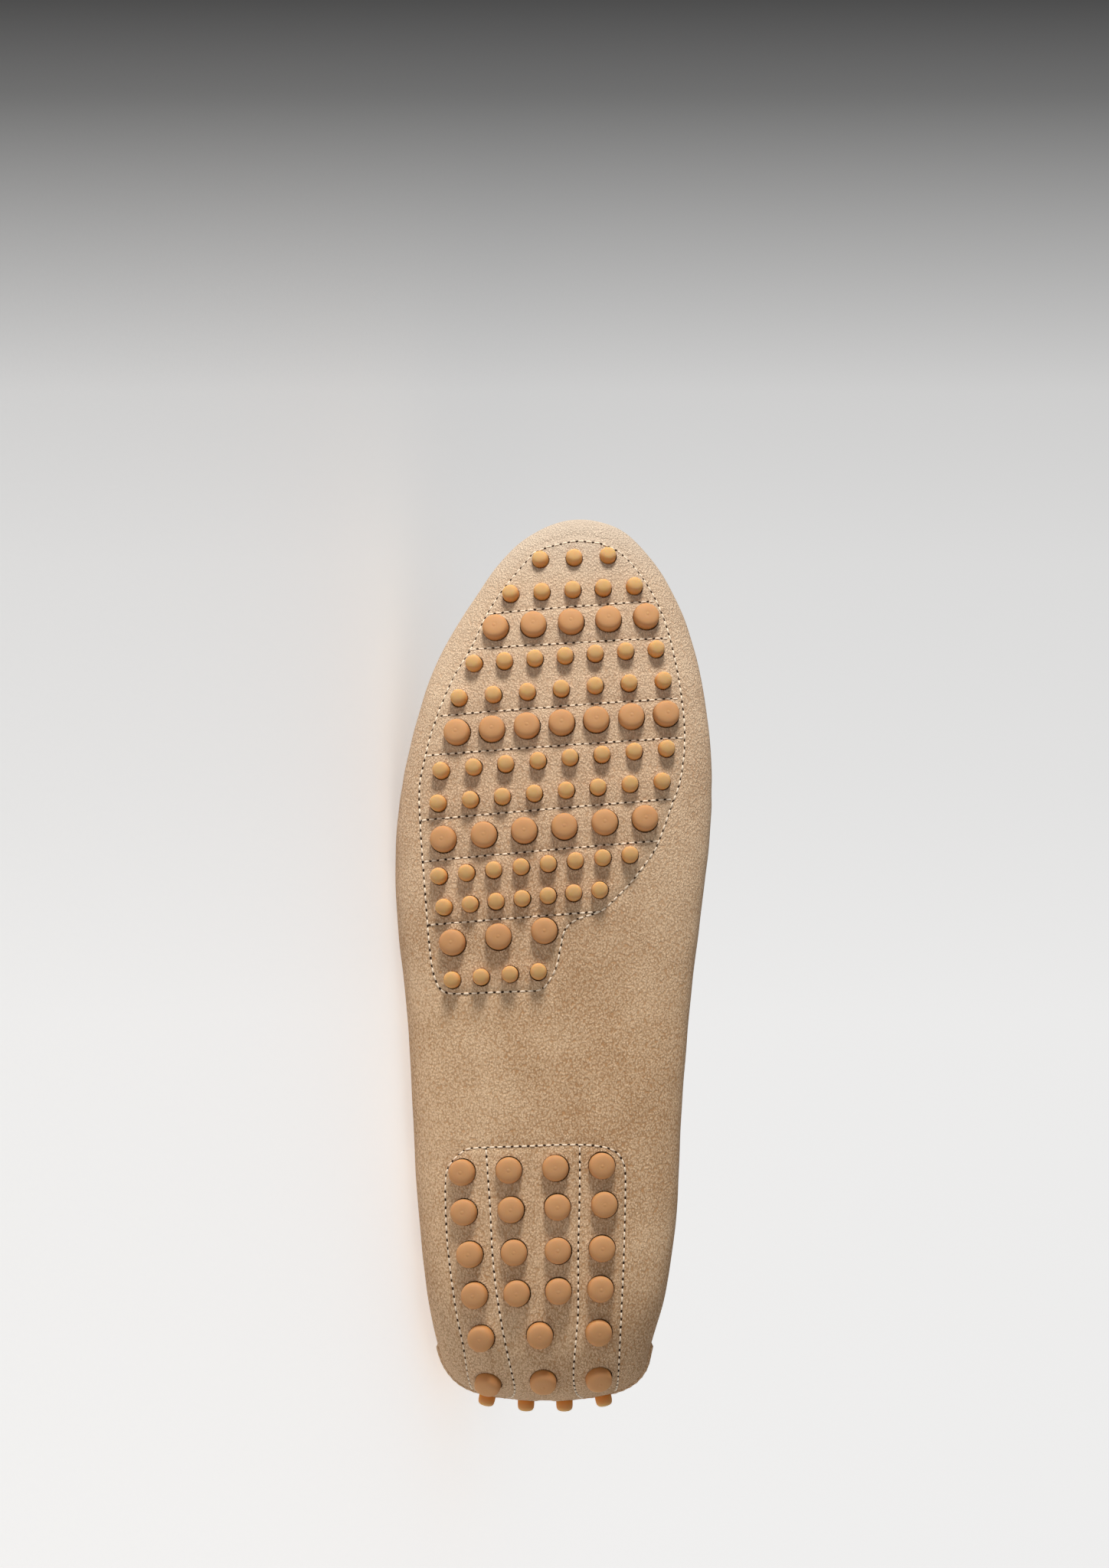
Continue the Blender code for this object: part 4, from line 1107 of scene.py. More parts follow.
def make_apron(sizes, colours):
    """Plug of the vamp with the tongue in one piece."""
    plan = beside_path(seam_path(), -(SEAM_WIDTH / 2 + GAP))
    half = len(plan) // 2
    pairs = [(plan[i], plan[-1 - i]) for i in range(half)]
    pairs = [(a, b) for a, b in pairs if a[0] - b[0] > SEAM_WIDTH]
    (outer, throat), (inner, _) = pairs[0]
    tongue = []
    for share in np.linspace(1.0, 0.04, 22):
        wide = (outer - inner) / 2 * (1.0 - TONGUE_TAPER * share**3)
        middle, y = (outer + inner) / 2, throat - TONGUE_LENGTH * share
        tongue.append((np.array([middle + wide, y]), np.array([middle - wide, y])))
    rows = np.array(tongue + pairs)
    share = (1 - np.cos(np.pi * np.linspace(0, 1, 46))) / 2
    spots = rows[:, :1] + (rows[:, 1:] - rows[:, :1]) * share[None, :, None]
    wide = np.linalg.norm(rows[:, 0] - rows[:, 1], axis=1)[:, None]
    away = np.minimum(np.minimum(share, 1 - share) * wide, np.abs(spots[..., 1] - rows[0, 0, 1]))
    depth = rounded(-(OVERLAY_CLEARANCE + OVERLAY_THICKNESS), away, OVERLAY_THICKNESS)
    outside = LAST.above(spots[..., 0], spots[..., 1], depth)
    inside = LAST.above(spots[..., 0], spots[..., 1], -OVERLAY_CLEARANCE)
    outside, _ = raised(outside, crease_relief, soft_relief)
    shape = Shape()
    shape.sheet(outside, inside, 0, back=1)
    finishes = [suede("apron_suede", sizes, colours), lining(colours)]
    shape.object("vamp_apron", "suede_trim", finishes, ["apron"])


def make_seam(sizes, colours):
    """Raised hand-sewn seam with its gathers, and the thread over it."""
    path = seam_path(SEAM_STEP)
    run = np.arange(len(path)) * SEAM_STEP
    swell = 1.0 + 0.10 * np.cos(2 * np.pi * run / sizes.hand_stitch_pitch)
    half, ring = SEAM_WIDTH / 2, 13
    lines = []
    for a in np.linspace(np.pi, 0, ring):
        shift = half * np.cos(a) * (1 + 0.12 * (swell - 1) / 0.1)
        rise = OVERLAY_CLEARANCE + (SEAM_HEIGHT - OVERLAY_CLEARANCE) * np.sin(a) ** 0.7 * swell
        plan = beside_path(path, shift)
        lines.append(LAST.above(plan[:, 0], plan[:, 1], -rise))
    rings, _ = raised(np.stack(lines, axis=1), crease_relief)
    shape = Shape()
    quads = grid_faces(len(rings), ring, closed=True)
    caps = [tuple(range(ring)), tuple(len(path) * ring - 1 - k for k in range(ring))]
    shape.add(rings, [*map(tuple, quads), *caps])
    finishes = [suede("seam_suede", sizes, colours)]
    shape.object("hand_sewn_seam", "suede_trim", finishes, ["moccasin_seam"])
    make_hand_stitches(path, sizes, colours)


def make_hand_stitches(path, sizes, colours):
    """Thick thread that crosses the raised seam, stitch by stitch."""
    pitch = sizes.hand_stitch_pitch
    run = np.arange(len(path)) * SEAM_STEP
    at = np.arange(0.5 * pitch, (len(path) - 1) * SEAM_STEP, pitch)
    shifts = np.array([-1.25, -1.12, -0.7, 0.0, 0.7, 1.12, 1.25]) * SEAM_WIDTH / 2
    rises = np.array([0.0, 0.62, 1.02, 1.10, 1.02, 0.62, 0.0]) * SEAM_HEIGHT
    rises[1:-1] += 0.3 * MM
    lines = []
    for number, (shift, rise) in enumerate(zip(shifts, rises)):
        plan = beside_path(path, np.full(len(path), shift))
        slant = (number - 3) * 0.25 * MM
        x, y = (np.interp(at + slant, run, plan[:, k]) for k in range(2))
        lines.append(LAST.above(x, y, -rise))
    centres, normals = raised(np.stack(lines, axis=1), crease_relief)
    shape = Shape()
    shape.tubes(centres, normals, HAND_THREAD_RADIUS, sides=8)
    shape.object("hand_stitches", "suede_trim", [thread(colours)])


def crossing(low, high):
    """y between low and high where the topline meets the crown."""
    rising = LAST.read("crown", high) > topline_height(high)
    for _ in range(40):
        half = (low + high) / 2
        if (LAST.read("crown", half) > topline_height(half)) == rising:
            high = half
        else:
            low = half
    return (low + high) / 2


def topline_points(step):
    """Middle of the wall's cut edge, from one side of the tongue round the heel to the other, and up."""
    back, front = crossing(0.5 * MM, 0.1 * LENGTH), crossing(0.62 * LENGTH, 0.5 * LENGTH)
    along, half = table_curve(APRON, 80)
    tongue = half[0] * APRON_WIDTH + TOPLINE_DIAMETER / 2 + GAP
    count = 720
    turn = 2 * np.pi * (np.arange(count) + 0.5) / count
    y = back + (front - back) * (1 + np.cos(turn)) / 2
    z = topline_height(y)
    _, wide, tall, power, lean = LAST.quarter(y, turn < np.pi, True)
    rise = z - LAST.read("side", y)
    reach = (wide - lean * rise) * np.maximum(1 - (rise / tall) ** power, 0.0) ** (1 / power)
    keep = (y < LENGTH / 2) | (reach > tongue)
    points = points_at(LAST.ridge(y) + np.copysign(reach, np.pi - turn), y, z)[keep]
    slope = (topline_height(points[:, 1] + MM) - topline_height(points[:, 1] - MM)) / (2 * MM)
    up = unit(points_at(0.0, -slope, 1.0))
    normal = LAST.normal(points)
    level = normal - up * np.einsum("ij,ij->i", normal, up)[:, None]
    size = np.maximum(np.linalg.norm(level, axis=1, keepdims=True), 0.5)
    points = points - unit(level) * (WALL / 2) / size
    path = resample(np.hstack([points, up, unit(level)]), step)
    return path[:, :3], unit(path[:, 3:6])


def make_topline(sizes, colours):
    """Rolled binding on the collar's edge, with the stitches that hold it."""
    points, up = topline_points(TOPLINE_STEP)
    radius = TOPLINE_DIAMETER / 2
    centres = points + up * (radius + GAP)
    run = np.arange(len(points)) * TOPLINE_STEP
    swell = 1.0 + 0.035 * np.sin(2 * np.pi * run / (5.2 * MM))
    shape = Shape()
    shape.tubes(centres[None], up[None], radius * swell, sides=16)
    finishes = [suede("binding_suede", sizes, colours)]
    shape.object("collar_binding", "suede_trim", finishes, ["topline_roll"])
    side = np.sign(points[:, 0] - LAST.ridge(points[:, 1]))
    _, y, z = (points - up * TOPLINE_STITCH_DROP).T
    keep = y > 12 * MM
    wall = np.where(side[:, None] > 0, LAST.beside(y, z, 1), LAST.beside(y, z, -1))
    lines = [(wall[chosen & keep], False) for chosen in (side > 0, side < 0)]
    sew("collar", "suede_trim", skin_tree(), lines, sizes, colours)


def counter_low(share):
    """Height of the counter's lower edge at a share of its reach."""
    drop = (COUNTER_MIDDLE - COUNTER_END) * np.abs(share) ** COUNTER_SWEEP
    return (COUNTER_MIDDLE - drop) * COLLAR_HEIGHT


def counter_skin(angle, z, depth):
    """Points round the back of the heel, at an angle and a height."""
    start = points_at(0.0, COUNTER_AXIS * LENGTH, z)
    return LAST.skin(start, points_at(np.sin(angle), -np.cos(angle), 0.0), depth)


def make_counter(sizes, colours):
    """Counter over the heel's back, stitched down round its edge."""
    across, tall = 90, 34
    share = np.linspace(-1, 1, across)[:, None]
    angle = COUNTER_REACH * share
    high = COUNTER_TOP * COLLAR_HEIGHT
    low = counter_low(share)
    part = (1 - np.cos(np.pi * np.linspace(0, 1, tall)))[None, :] / 2
    z = low + (high - low) * part
    girth = COUNTER_RADIUS * COUNTER_REACH
    away = np.minimum(np.minimum(part, 1 - part) * (high - low), (1 - np.abs(share)) * girth)
    pared = np.clip(away / (6 * MM), 0.0, 1.0)
    proud = (0.55 + 0.45 * pared) * OVERLAY_THICKNESS
    depth = rounded(-proud - 0.1 * MM, away, OVERLAY_THICKNESS * 0.6)
    trough = 0.25 * MM * np.exp(-(((away - STITCH_INSET) / STITCH_TROUGH_WIDTH) ** 2))
    shape = Shape()
    shape.sheet(counter_skin(angle, z, depth + trough), counter_skin(angle, z, 0.1 * MM))
    finishes = [suede("counter_suede", sizes, colours)]
    shape.object("heel_patch", "suede_trim", finishes, ["heel_counter"])
    edge, sides = np.linspace(-1, 1, 140), np.linspace(0, 1, 60)
    reach, top = 1 - STITCH_INSET / girth, high - STITCH_INSET
    lower = counter_low(edge * reach) + STITCH_INSET
    turns = np.concatenate([edge, 0 * sides + 1, edge[::-1], 0 * sides - 1]) * reach * COUNTER_REACH
    rising, falling = lower[-1] + (top - lower[-1]) * sides, top + (lower[0] - top) * sides
    heights = np.concatenate([lower, rising, np.full(edge.shape, top), falling])
    path = resample(counter_skin(turns, heights, 0.0), STITCH_PATH_STEP)
    sew("heel_patch", "suede_trim", skin_tree("heel_patch"), [(path, True)], sizes, colours)

# Colour of the painted light that makes the suede paler towards the toe.
TOE_PAINTED_LIGHT = (0.78, 0.70, 0.60)
# The painted light's slopes: from and to as shares of LENGTH from the heel, and how much of it they add.
TOE_PAINTED_LIGHT_RAMPS = ((0.93, 1.01, 0.35), (0.42, 0.95, 0.28))
# The paper's painted shade down the picture, from the far side of the toe to the near side of the heel.
PAPER_PAINTED_SHADE = (
    (0.00, 0.085), (0.06, 0.18), (0.15, 0.43), (0.25, 0.70),
    (0.36, 0.80), (0.50, 0.86), (0.65, 0.94), (1.00, 0.97),
)
PAPER_REACH = 6.0
# How far red, green and blue light spread in the rubber, against each other.
RUBBER_GLOW = (1.0, 0.45, 0.15)
# Directions of the shoe as it lies.
TOE_WAY, OUT_WAY, INNER_WAY = Vector(TURN[:, 1]), Vector(-TURN[:, 2]), Vector(-TURN[:, 0])
# The picture's height at the shoe, the point of the sole in its middle and the lean towards the heel.
FRAME_HEIGHT = 506.0 * MM
CAMERA_TARGET = (-3.0 * MM, 199.0 * MM, 0.0)
CAMERA_LEAN = math.radians(4.0)
SENSOR = 36.0
# The lamps look at this point. A place is shares to the toe, out of the sole and to the inner side,
# then metres.
LIGHT_TARGET = (-3.0 * MM, 150.0 * MM, 0.0)
KEY_PLACE = (0.925, 0.37, 0.05, 1.15)
KEY_SIZE = 0.32
KEY_COLOUR = (1.0, 0.97, 0.92)
BOUNCE_PLACE = (-0.95, 0.55, 0.0, 1.2)
BOUNCE_SIZE = 0.7
BOUNCE_COLOUR = (1.0, 0.86, 0.70)


def wire(tree, values, targets):
    """Links values to inputs, or sets them."""
    for value, target in zip(values, targets):
        if isinstance(value, bpy.types.NodeSocket):
            tree.links.new(value, target)
        else:
            target.default_value = value


def fill(tree, made, **values):
    """Gives a node's inputs their values by name."""
    wire(tree, values.values(), [made.inputs[name.replace("_", " ")] for name in values])
    return made


def node(tree, kind, **settings):
    made = tree.nodes.new("ShaderNode" + kind)
    for key, value in settings.items():
        setattr(made, key, value)
    return made


def new_group(name, inputs, outputs):
    """The node group of that name, and its ends if it is new."""
    group = bpy.data.node_groups.get(name)
    if group is not None:
        return group, None, None
    group = bpy.data.node_groups.new(name, "ShaderNodeTree")
    for label, default in inputs.items():
        kind = "NodeSocketFloat" if isinstance(default, float) else "NodeSocketColor"
        made = group.interface.new_socket(name=label, in_out="INPUT", socket_type=kind)
        made.default_value = default
    for label, kind in outputs.items():
        group.interface.new_socket(name=label, in_out="OUTPUT", socket_type="NodeSocket" + kind)
    return group, group.nodes.new("NodeGroupInput").outputs, group.nodes.new("NodeGroupOutput")


def own_place(tree):
    return node(tree, "TexCoord").outputs["Object"]


def mix_colour(tree, blend, factor, first, second):
    made = node(tree, "Mix", data_type="RGBA", blend_type=blend)
    wire(tree, (factor, first, second), (made.inputs[0], made.inputs[6], made.inputs[7]))
    return made.outputs[2]


def maths(tree, operation, *values, clamp=False):
    made = node(tree, "Math", operation=operation, use_clamp=clamp)
    wire(tree, values, made.inputs)
    return made.outputs[0]


def noise(tree, vector, scale, detail=2.0, roughness=0.5):
    made = node(tree, "TexNoise")
    return fill(tree, made, Vector=vector, Scale=scale, Detail=detail, Roughness=roughness).outputs["Fac"]


def ramp(tree, value, low, high, out_low=0.0, out_high=1.0):
    made = node(tree, "MapRange")
    fill(tree, made, Value=value, From_Min=low, From_Max=high, To_Min=out_low, To_Max=out_high)
    return made.outputs[0]


def along(tree, vector, direction):
    """How far a vector reaches in a direction."""
    made = node(tree, "VectorMath", operation="DOT_PRODUCT")
    wire(tree, (vector, direction), made.inputs)
    return made.outputs["Value"]


def nap_group():
    """Brushed nap: short fibres whose colour follows their height, with painted shade in the depth of the nap
    and painted light on its raised fibres, plus slow clouds and brushed streaks.
    """
    inputs = {
        "Grain Size": 0.0008,
        "Light": (0.8, 0.6, 0.4, 1),
        "Dark": (0.4, 0.25, 0.15, 1),
        "Contrast": 1.0,
        "Cloud": 0.5,
    }
    outputs = {"Colour": "Color", "Height": "Float", "Roughness": "Float"}
    group, start, end = new_group("suede_nap", inputs, outputs)
    if start is None:
        return group
    spot = own_place(group)
    turned = node(group, "Mapping")
    fill(group, turned, Vector=spot, Rotation=(0.0, 0.2, 0.55), Scale=(0.72, 1.0, 1.0))
    fibres = turned.outputs[0]
    pitch = maths(group, "DIVIDE", 1.0, start["Grain Size"])
    fine = noise(group, fibres, maths(group, "MULTIPLY", pitch, 1.7), 3.0, 0.72)
    tufts = fill(group, node(group, "TexVoronoi"), Vector=fibres, Scale=pitch)
    pile = maths(group, "MULTIPLY_ADD", tufts.outputs["Distance"], -0.7, fine)
    height = ramp(group, pile, -0.14, 0.46)
    cloud = ramp(group, noise(group, spot, 85.0, 2.0, 0.55), 0.3, 0.7, -0.4, 0.4)
    brushed = ramp(group, noise(group, spot, 21.0, 2.0, 0.5), 0.35, 0.65, -0.6, 0.6)
    slow = maths(group, "MULTIPLY", maths(group, "ADD", cloud, brushed), start["Cloud"])
    # Painted shade and light: the colour goes from Dark in the nap's depths to Light on its raised fibres.
    spread = maths(group, "MULTIPLY", maths(group, "SUBTRACT", height, 0.5), start["Contrast"])
    factor = maths(group, "ADD", maths(group, "ADD", spread, slow), 0.55, clamp=True)
    colour = mix_colour(group, "MIX", factor, start["Dark"], start["Light"])
    fill(group, end, Colour=colour, Height=height, Roughness=ramp(group, height, 0.0, 1.0, 0.98, 0.85))
    return group


def smudge_group():
    """Uneven bloom and light soiling of a smooth surface."""
    inputs = {
        "Clean": (0.7, 0.5, 0.3, 1),
        "Soiled": (0.5, 0.33, 0.2, 1),
        "Patch Size": 0.01,
        "Amount": 0.5,
        "Grain Size": 0.0005,
    }
    group, start, end = new_group("smudge", inputs, {"Colour": "Color", "Mask": "Float", "Height": "Float"})
    if start is None:
        return group
    spot = own_place(group)
    patches = noise(group, spot, maths(group, "DIVIDE", 1.0, start["Patch Size"]), 4.0, 0.6)
    grain = noise(group, spot, maths(group, "DIVIDE", 1.0, start["Grain Size"]), 2.0, 0.5)
    mask = maths(group, "MULTIPLY", ramp(group, patches, 0.38, 0.72), start["Amount"])
    mask = maths(group, "MULTIPLY_ADD", maths(group, "SUBTRACT", grain, 0.5), 0.25, mask, clamp=True)
    colour = mix_colour(group, "MIX", mask, start["Clean"], start["Soiled"])
    fill(group, end, Colour=colour, Mask=mask, Height=grain)
    return group


def shade(colour, share=1.0):
    """A colour made darker by a share, with the alpha that a socket wants."""
    return (*(share * c for c in colour[:3]), 1.0)


def use(tree, group, **values):
    made = tree.nodes.new("ShaderNodeGroup")
    made.node_tree = group
    return fill(tree, made, **values).outputs


def smudge(tree, colour, share, patch, amount, grain):
    """A colour that is soiled down to a share of itself in patches."""
    return use(
        tree, smudge_group(), Clean=shade(colour), Soiled=shade(colour, share),
        Patch_Size=patch, Amount=amount, Grain_Size=grain,
    )


def bump(tree, shader, height, strength, distance):
    made = fill(tree, node(tree, "Bump"), Height=height, Strength=strength, Distance=distance)
    fill(tree, shader, Normal=made.outputs[0])


def finish(name, paint, *values):
    """The material of that name, painted when it is first asked for."""
    material = bpy.data.materials.get(name)
    if material is None:
        material = bpy.data.materials.new(name)
        material.use_nodes = True
        paint(material.node_tree, material.node_tree.nodes["Principled BSDF"], *values)
    return material


def paint_suede(tree, shader, light, dark, contrast, cloud, grain):
    """Brushed suede, paler towards the toe with painted light."""
    nap = use(
        tree, nap_group(), Grain_Size=grain, Light=shade(light), Dark=shade(dark),
        Contrast=contrast, Cloud=cloud,
    )
    ahead = along(tree, own_place(tree), TOE_WAY)
    heel = float(SHIFT @ TURN[:, 1])
    # Painted light: the suede is mixed towards a paler colour towards the toe, where the key light off the
    # toe falls brightest.
    toe_painted_light = [
        ramp(tree, ahead, heel + low * LENGTH, heel + high * LENGTH, 0.0, share)
        for low, high, share in TOE_PAINTED_LIGHT_RAMPS
    ]
    colour = mix_colour(tree, "MIX", maths(tree, "ADD", *toe_painted_light), nap["Colour"], shade(TOE_PAINTED_LIGHT))
    fill(tree, shader, Base_Color=colour, Roughness=nap["Roughness"], Specular_IOR_Level=0.12)
    fill(tree, shader, Sheen_Weight=0.16, Sheen_Roughness=0.45, Sheen_Tint=(1.0, 0.90, 0.78, 1.0))
    bump(tree, shader, nap["Height"], 1.0, 0.60 * MM)


def suede(name, sizes, colours):
    return finish(name, paint_suede, colours.suede_light, colours.suede_dark, 1.05, 0.20, sizes.nap_grain)


def cut_suede(colours):
    dark = shade(colours.suede_cut, 0.45)
    return finish("cut_suede", paint_suede, colours.suede_cut, dark, 1.3, 0.2, 0.5 * MM)


def fibre(colours):
    return finish("loose_fibres", paint_suede, colours.suede_light, colours.suede_dark, 0.8, 0.5, 0.4 * MM)


def pores(tree, scale, reach):
    made = node(tree, "TexVoronoi", feature="DISTANCE_TO_EDGE")
    fill(tree, made, Vector=own_place(tree), Scale=scale)
    return ramp(tree, made.outputs["Distance"], 0.0, reach)


def paint_lining(tree, shader, colour):
    """Smooth lining leather with fine pores."""
    look = smudge(tree, colour, 0.72, 0.022, 0.5, 0.0011)
    fill(tree, shader, Base_Color=look["Colour"], Roughness=ramp(tree, look["Mask"], 0.0, 1.0, 0.5, 0.75))
    height = maths(tree, "ADD", pores(tree, 820.0, 0.12), maths(tree, "MULTIPLY", look["Height"], 0.5))
    bump(tree, shader, height, 0.35, 0.12 * MM)


def lining(colours):
    return finish("lining_leather", paint_lining, colours.lining)


def paint_sock(tree, shader, colour):
    """Sock leather, darker where the foot has pressed it."""
    look = smudge(tree, colour, 0.55, 0.03, 0.6, 0.0014)
    fill(tree, shader, Base_Color=look["Colour"], Roughness=ramp(tree, look["Mask"], 0.0, 1.0, 0.42, 0.7))
    bump(tree, shader, pores(tree, 640.0, 0.14), 0.4, 0.15 * MM)


def sock(colours):
    return finish("sock_leather", paint_sock, colours.lining)


def paint_rubber(tree, shader, tip, root, roughness, softness, reach):
    """Moulded rubber that lets a little light through, deeper in colour towards its root: painted light, with
    a paler lit tip and a deeper orange glow of light through the rubber near the root.
    """
    rise = node(tree, "Attribute", attribute_name="rise").outputs["Fac"]
    look = smudge(tree, tip, 0.86, 0.006, 0.25, 0.0004)
    # Painted light: the colour goes from the root's deep orange to the paler tip with the height on the stud.
    colour = mix_colour(tree, "MIX", ramp(tree, rise, 0.15, 0.95), shade(root), look["Colour"])
    rough = ramp(tree, look["Mask"], 0.0, 1.0, roughness, roughness + 0.15)
    fill(tree, shader, Base_Color=colour, Roughness=rough, Specular_IOR_Level=0.18)
    fill(tree, shader, Subsurface_Weight=softness, Subsurface_Scale=reach)
    fill(tree, shader, Subsurface_Radius=RUBBER_GLOW)
    bump(tree, shader, look["Height"], 0.15, 0.05 * MM)


def rubbers(colours):
    large = (colours.large_stud, colours.large_stud_root, 0.66, 0.40, 2.0 * MM)
    small = (colours.small_stud, colours.small_stud_root, 0.76, 0.85, 2.8 * MM)
    pairs = (("large_stud_rubber", large), ("small_stud_rubber", small))
    return [finish(name, paint_rubber, *values) for name, values in pairs]


def paint_thread(tree, shader, colour):
    """Twisted sewing thread, with painted shade in the grooves between its twists."""
    look = smudge(tree, colour, 0.68, 0.003, 0.7, 0.0002)
    twist = node(tree, "TexWave", wave_type="BANDS", bands_direction="DIAGONAL")
    turns = fill(tree, twist, Vector=own_place(tree), Scale=900.0, Distortion=2.0).outputs["Fac"]
    # Painted shade: darker where the twist's bump is low, in the grooves between the twists.
    between = ramp(tree, turns, 0.0, 0.35, 0.4, 0.0)
    colour = mix_colour(tree, "MIX", between, look["Colour"], shade(colour, 0.68))
    fill(tree, shader, Base_Color=colour, Roughness=0.8, Sheen_Weight=0.3)
    bump(tree, shader, turns, 0.5, 0.06 * MM)


def thread(colours):
    return finish("sewing_thread", paint_thread, colours.thread)


def paint_needle_hole_shade(tree, shader, colour):
    """Painted shade of a needle hole: a near-black spot laid flat just over the suede."""
    look = smudge(tree, colour, 0.5, 0.0012, 1.0, 0.0003)
    fill(tree, shader, Base_Color=look["Colour"], Roughness=1.0, Specular_IOR_Level=0.0)
    bump(tree, shader, look["Height"], 0.5, 0.1 * MM)


def needle_hole(colours):
    return finish("needle_hole", paint_needle_hole_shade, colours.needle_hole)


def paint_paper(tree, shader, colour, glow, half, eye, ahead, up):
    """Pale paper with painted shade that darkens it far off the toe, in bands square to the toe as the eye
    sees them.
    """
    spot = own_place(tree)
    away = node(tree, "VectorMath", operation="SUBTRACT")
    wire(tree, (spot, eye), away.inputs)
    height = maths(tree, "DIVIDE", along(tree, away.outputs[0], up), along(tree, away.outputs[0], ahead))
    shades = node(tree, "ValToRGB")
    tree.links.new(ramp(tree, height, half, -half), shades.inputs[0])
    stops = shades.color_ramp.elements
    while len(stops) < len(PAPER_PAINTED_SHADE):
        stops.new(0.5)
    for stop, (at, share) in zip(stops, PAPER_PAINTED_SHADE):
        stop.position = at
        stop.color = shade(colour, share)
    tint = mix_colour(tree, "MULTIPLY", 0.04, shades.outputs[0], noise(tree, spot, 700.0, 3.0, 0.6))
    fill(tree, shader, Base_Color=tint, Roughness=0.95, Specular_IOR_Level=0.0)
    fill(tree, shader, Emission_Color=tint, Emission_Strength=glow)


def to_world(point):
    return Vector(TURN @ np.asarray(point, dtype=float) + SHIFT)


def aim(item, spot, target, up):
    """Puts an object at a spot with its -Z to a target, and its Y as near to up as can be."""
    back = (spot - target).normalized()
    right = up.cross(back).normalized()
    turn = Matrix((right, back.cross(right), back)).transposed().to_4x4()
    item.matrix_world = Matrix.Translation(spot) @ turn


def area_light(name, spot, target, size, power, colour):
    light = bpy.data.lights.new(name, "AREA")
    light.shape, light.size, light.energy, light.color = "DISK", size, power, colour
    item = bpy.data.objects.new(name, light)
    bpy.context.scene.collection.objects.link(item)
    back = (spot - target).normalized()
    item.matrix_world = Matrix.Translation(spot) @ back.to_track_quat("Z", "Y").to_matrix().to_4x4()
    return item


def lamp_spot(centre, toe, out, inner, reach):
    """Where a lamp stands: shares to the toe, out of the sole and to the inner side, and its distance."""
    return centre + (TOE_WAY * toe + OUT_WAY * out + INNER_WAY * inner).normalized() * reach


def make_floor(sizes, colours, eye, ahead, up):
    """Paper under the shoe, out to where no view ends."""
    corners = [(x * PAPER_REACH, y * PAPER_REACH, 0) for x, y in ((-1, -1), (1, -1), (1, 1), (-1, 1))]
    mesh = bpy.data.meshes.new("studio_floor")
    mesh.from_pydata(corners, [], [(0, 1, 2, 3)])
    half = FRAME_HEIGHT / 2 / sizes.camera_distance
    paper = finish("studio_paper", paint_paper, colours.paper, sizes.paper_glow, half, eye, ahead, up)
    paper.cycles.emission_sampling = "NONE"
    mesh.materials.append(paper)
    floor = bpy.data.objects.new("studio_floor", mesh)
    bpy.context.scene.collection.objects.link(floor)


def make_lights(sizes):
    """A key light off the toe that lights only the shoe, a soft bounce from the heel, and the room."""
    scene = bpy.context.scene
    centre = to_world(LIGHT_TARGET)
    key = lamp_spot(centre, *KEY_PLACE)
    lamp = area_light("key_light", key, centre, KEY_SIZE, sizes.key_power, KEY_COLOUR)
    lit = bpy.data.collections.new("lit_by_key")
    for piece in scene.objects:
        if piece.type == "MESH" and piece.parent is not None:
            lit.objects.link(piece)
    lamp.light_linking.receiver_collection = lit
    bounce = lamp_spot(centre, *BOUNCE_PLACE)
    area_light("heel_bounce", bounce, centre, BOUNCE_SIZE, sizes.bounce_power, BOUNCE_COLOUR)
    world = bpy.data.worlds.new("studio_light")
    world.use_nodes = True
    back = world.node_tree.nodes["Background"]
    fill(world.node_tree, back, Color=(1.0, 0.99, 0.98, 1.0), Strength=sizes.room_light)
    scene.world = world
    scene.view_settings.view_transform = "Standard"


def make_stage(sizes, colours):
    """Pale paper, soft lights and the camera."""
    scene = bpy.context.scene
    target = to_world(CAMERA_TARGET)
    away = OUT_WAY * math.cos(CAMERA_LEAN) - TOE_WAY * math.sin(CAMERA_LEAN)
    eye = target + away * sizes.camera_distance
    ahead = (target - eye).normalized()
    make_floor(sizes, colours, eye, ahead, (TOE_WAY - ahead * TOE_WAY.dot(ahead)).normalized())
    make_lights(sizes)
    camera = bpy.data.cameras.new("camera")
    camera.sensor_width = SENSOR
    camera.lens = SENSOR * sizes.camera_distance / FRAME_HEIGHT
    item = bpy.data.objects.new("camera", camera)
    scene.collection.objects.link(item)
    scene.camera = item
    aim(item, eye, target, TOE_WAY)


def length(name, description, default, low, high):
    """A length property, given in mm."""
    limits = {"default": default * MM, "min": low * MM, "max": high * MM}
    return FloatProperty(name=name, description=description, unit="LENGTH", **limits)


def power(name, description, default):
    return FloatProperty(name=name, description=description, default=default, min=0.0, unit="POWER")


def strength(name, description, default):
    return FloatProperty(name=name, description=description, default=default, min=0.0)


def count(name, description, default, low, high):
    return IntProperty(name=name, description=description, default=default, min=low, max=high)


def tint(name, description, default):
    return FloatVectorProperty(
        name=name, description=description, default=default, subtype="COLOR", size=3, min=0.0, max=1.0,
    )


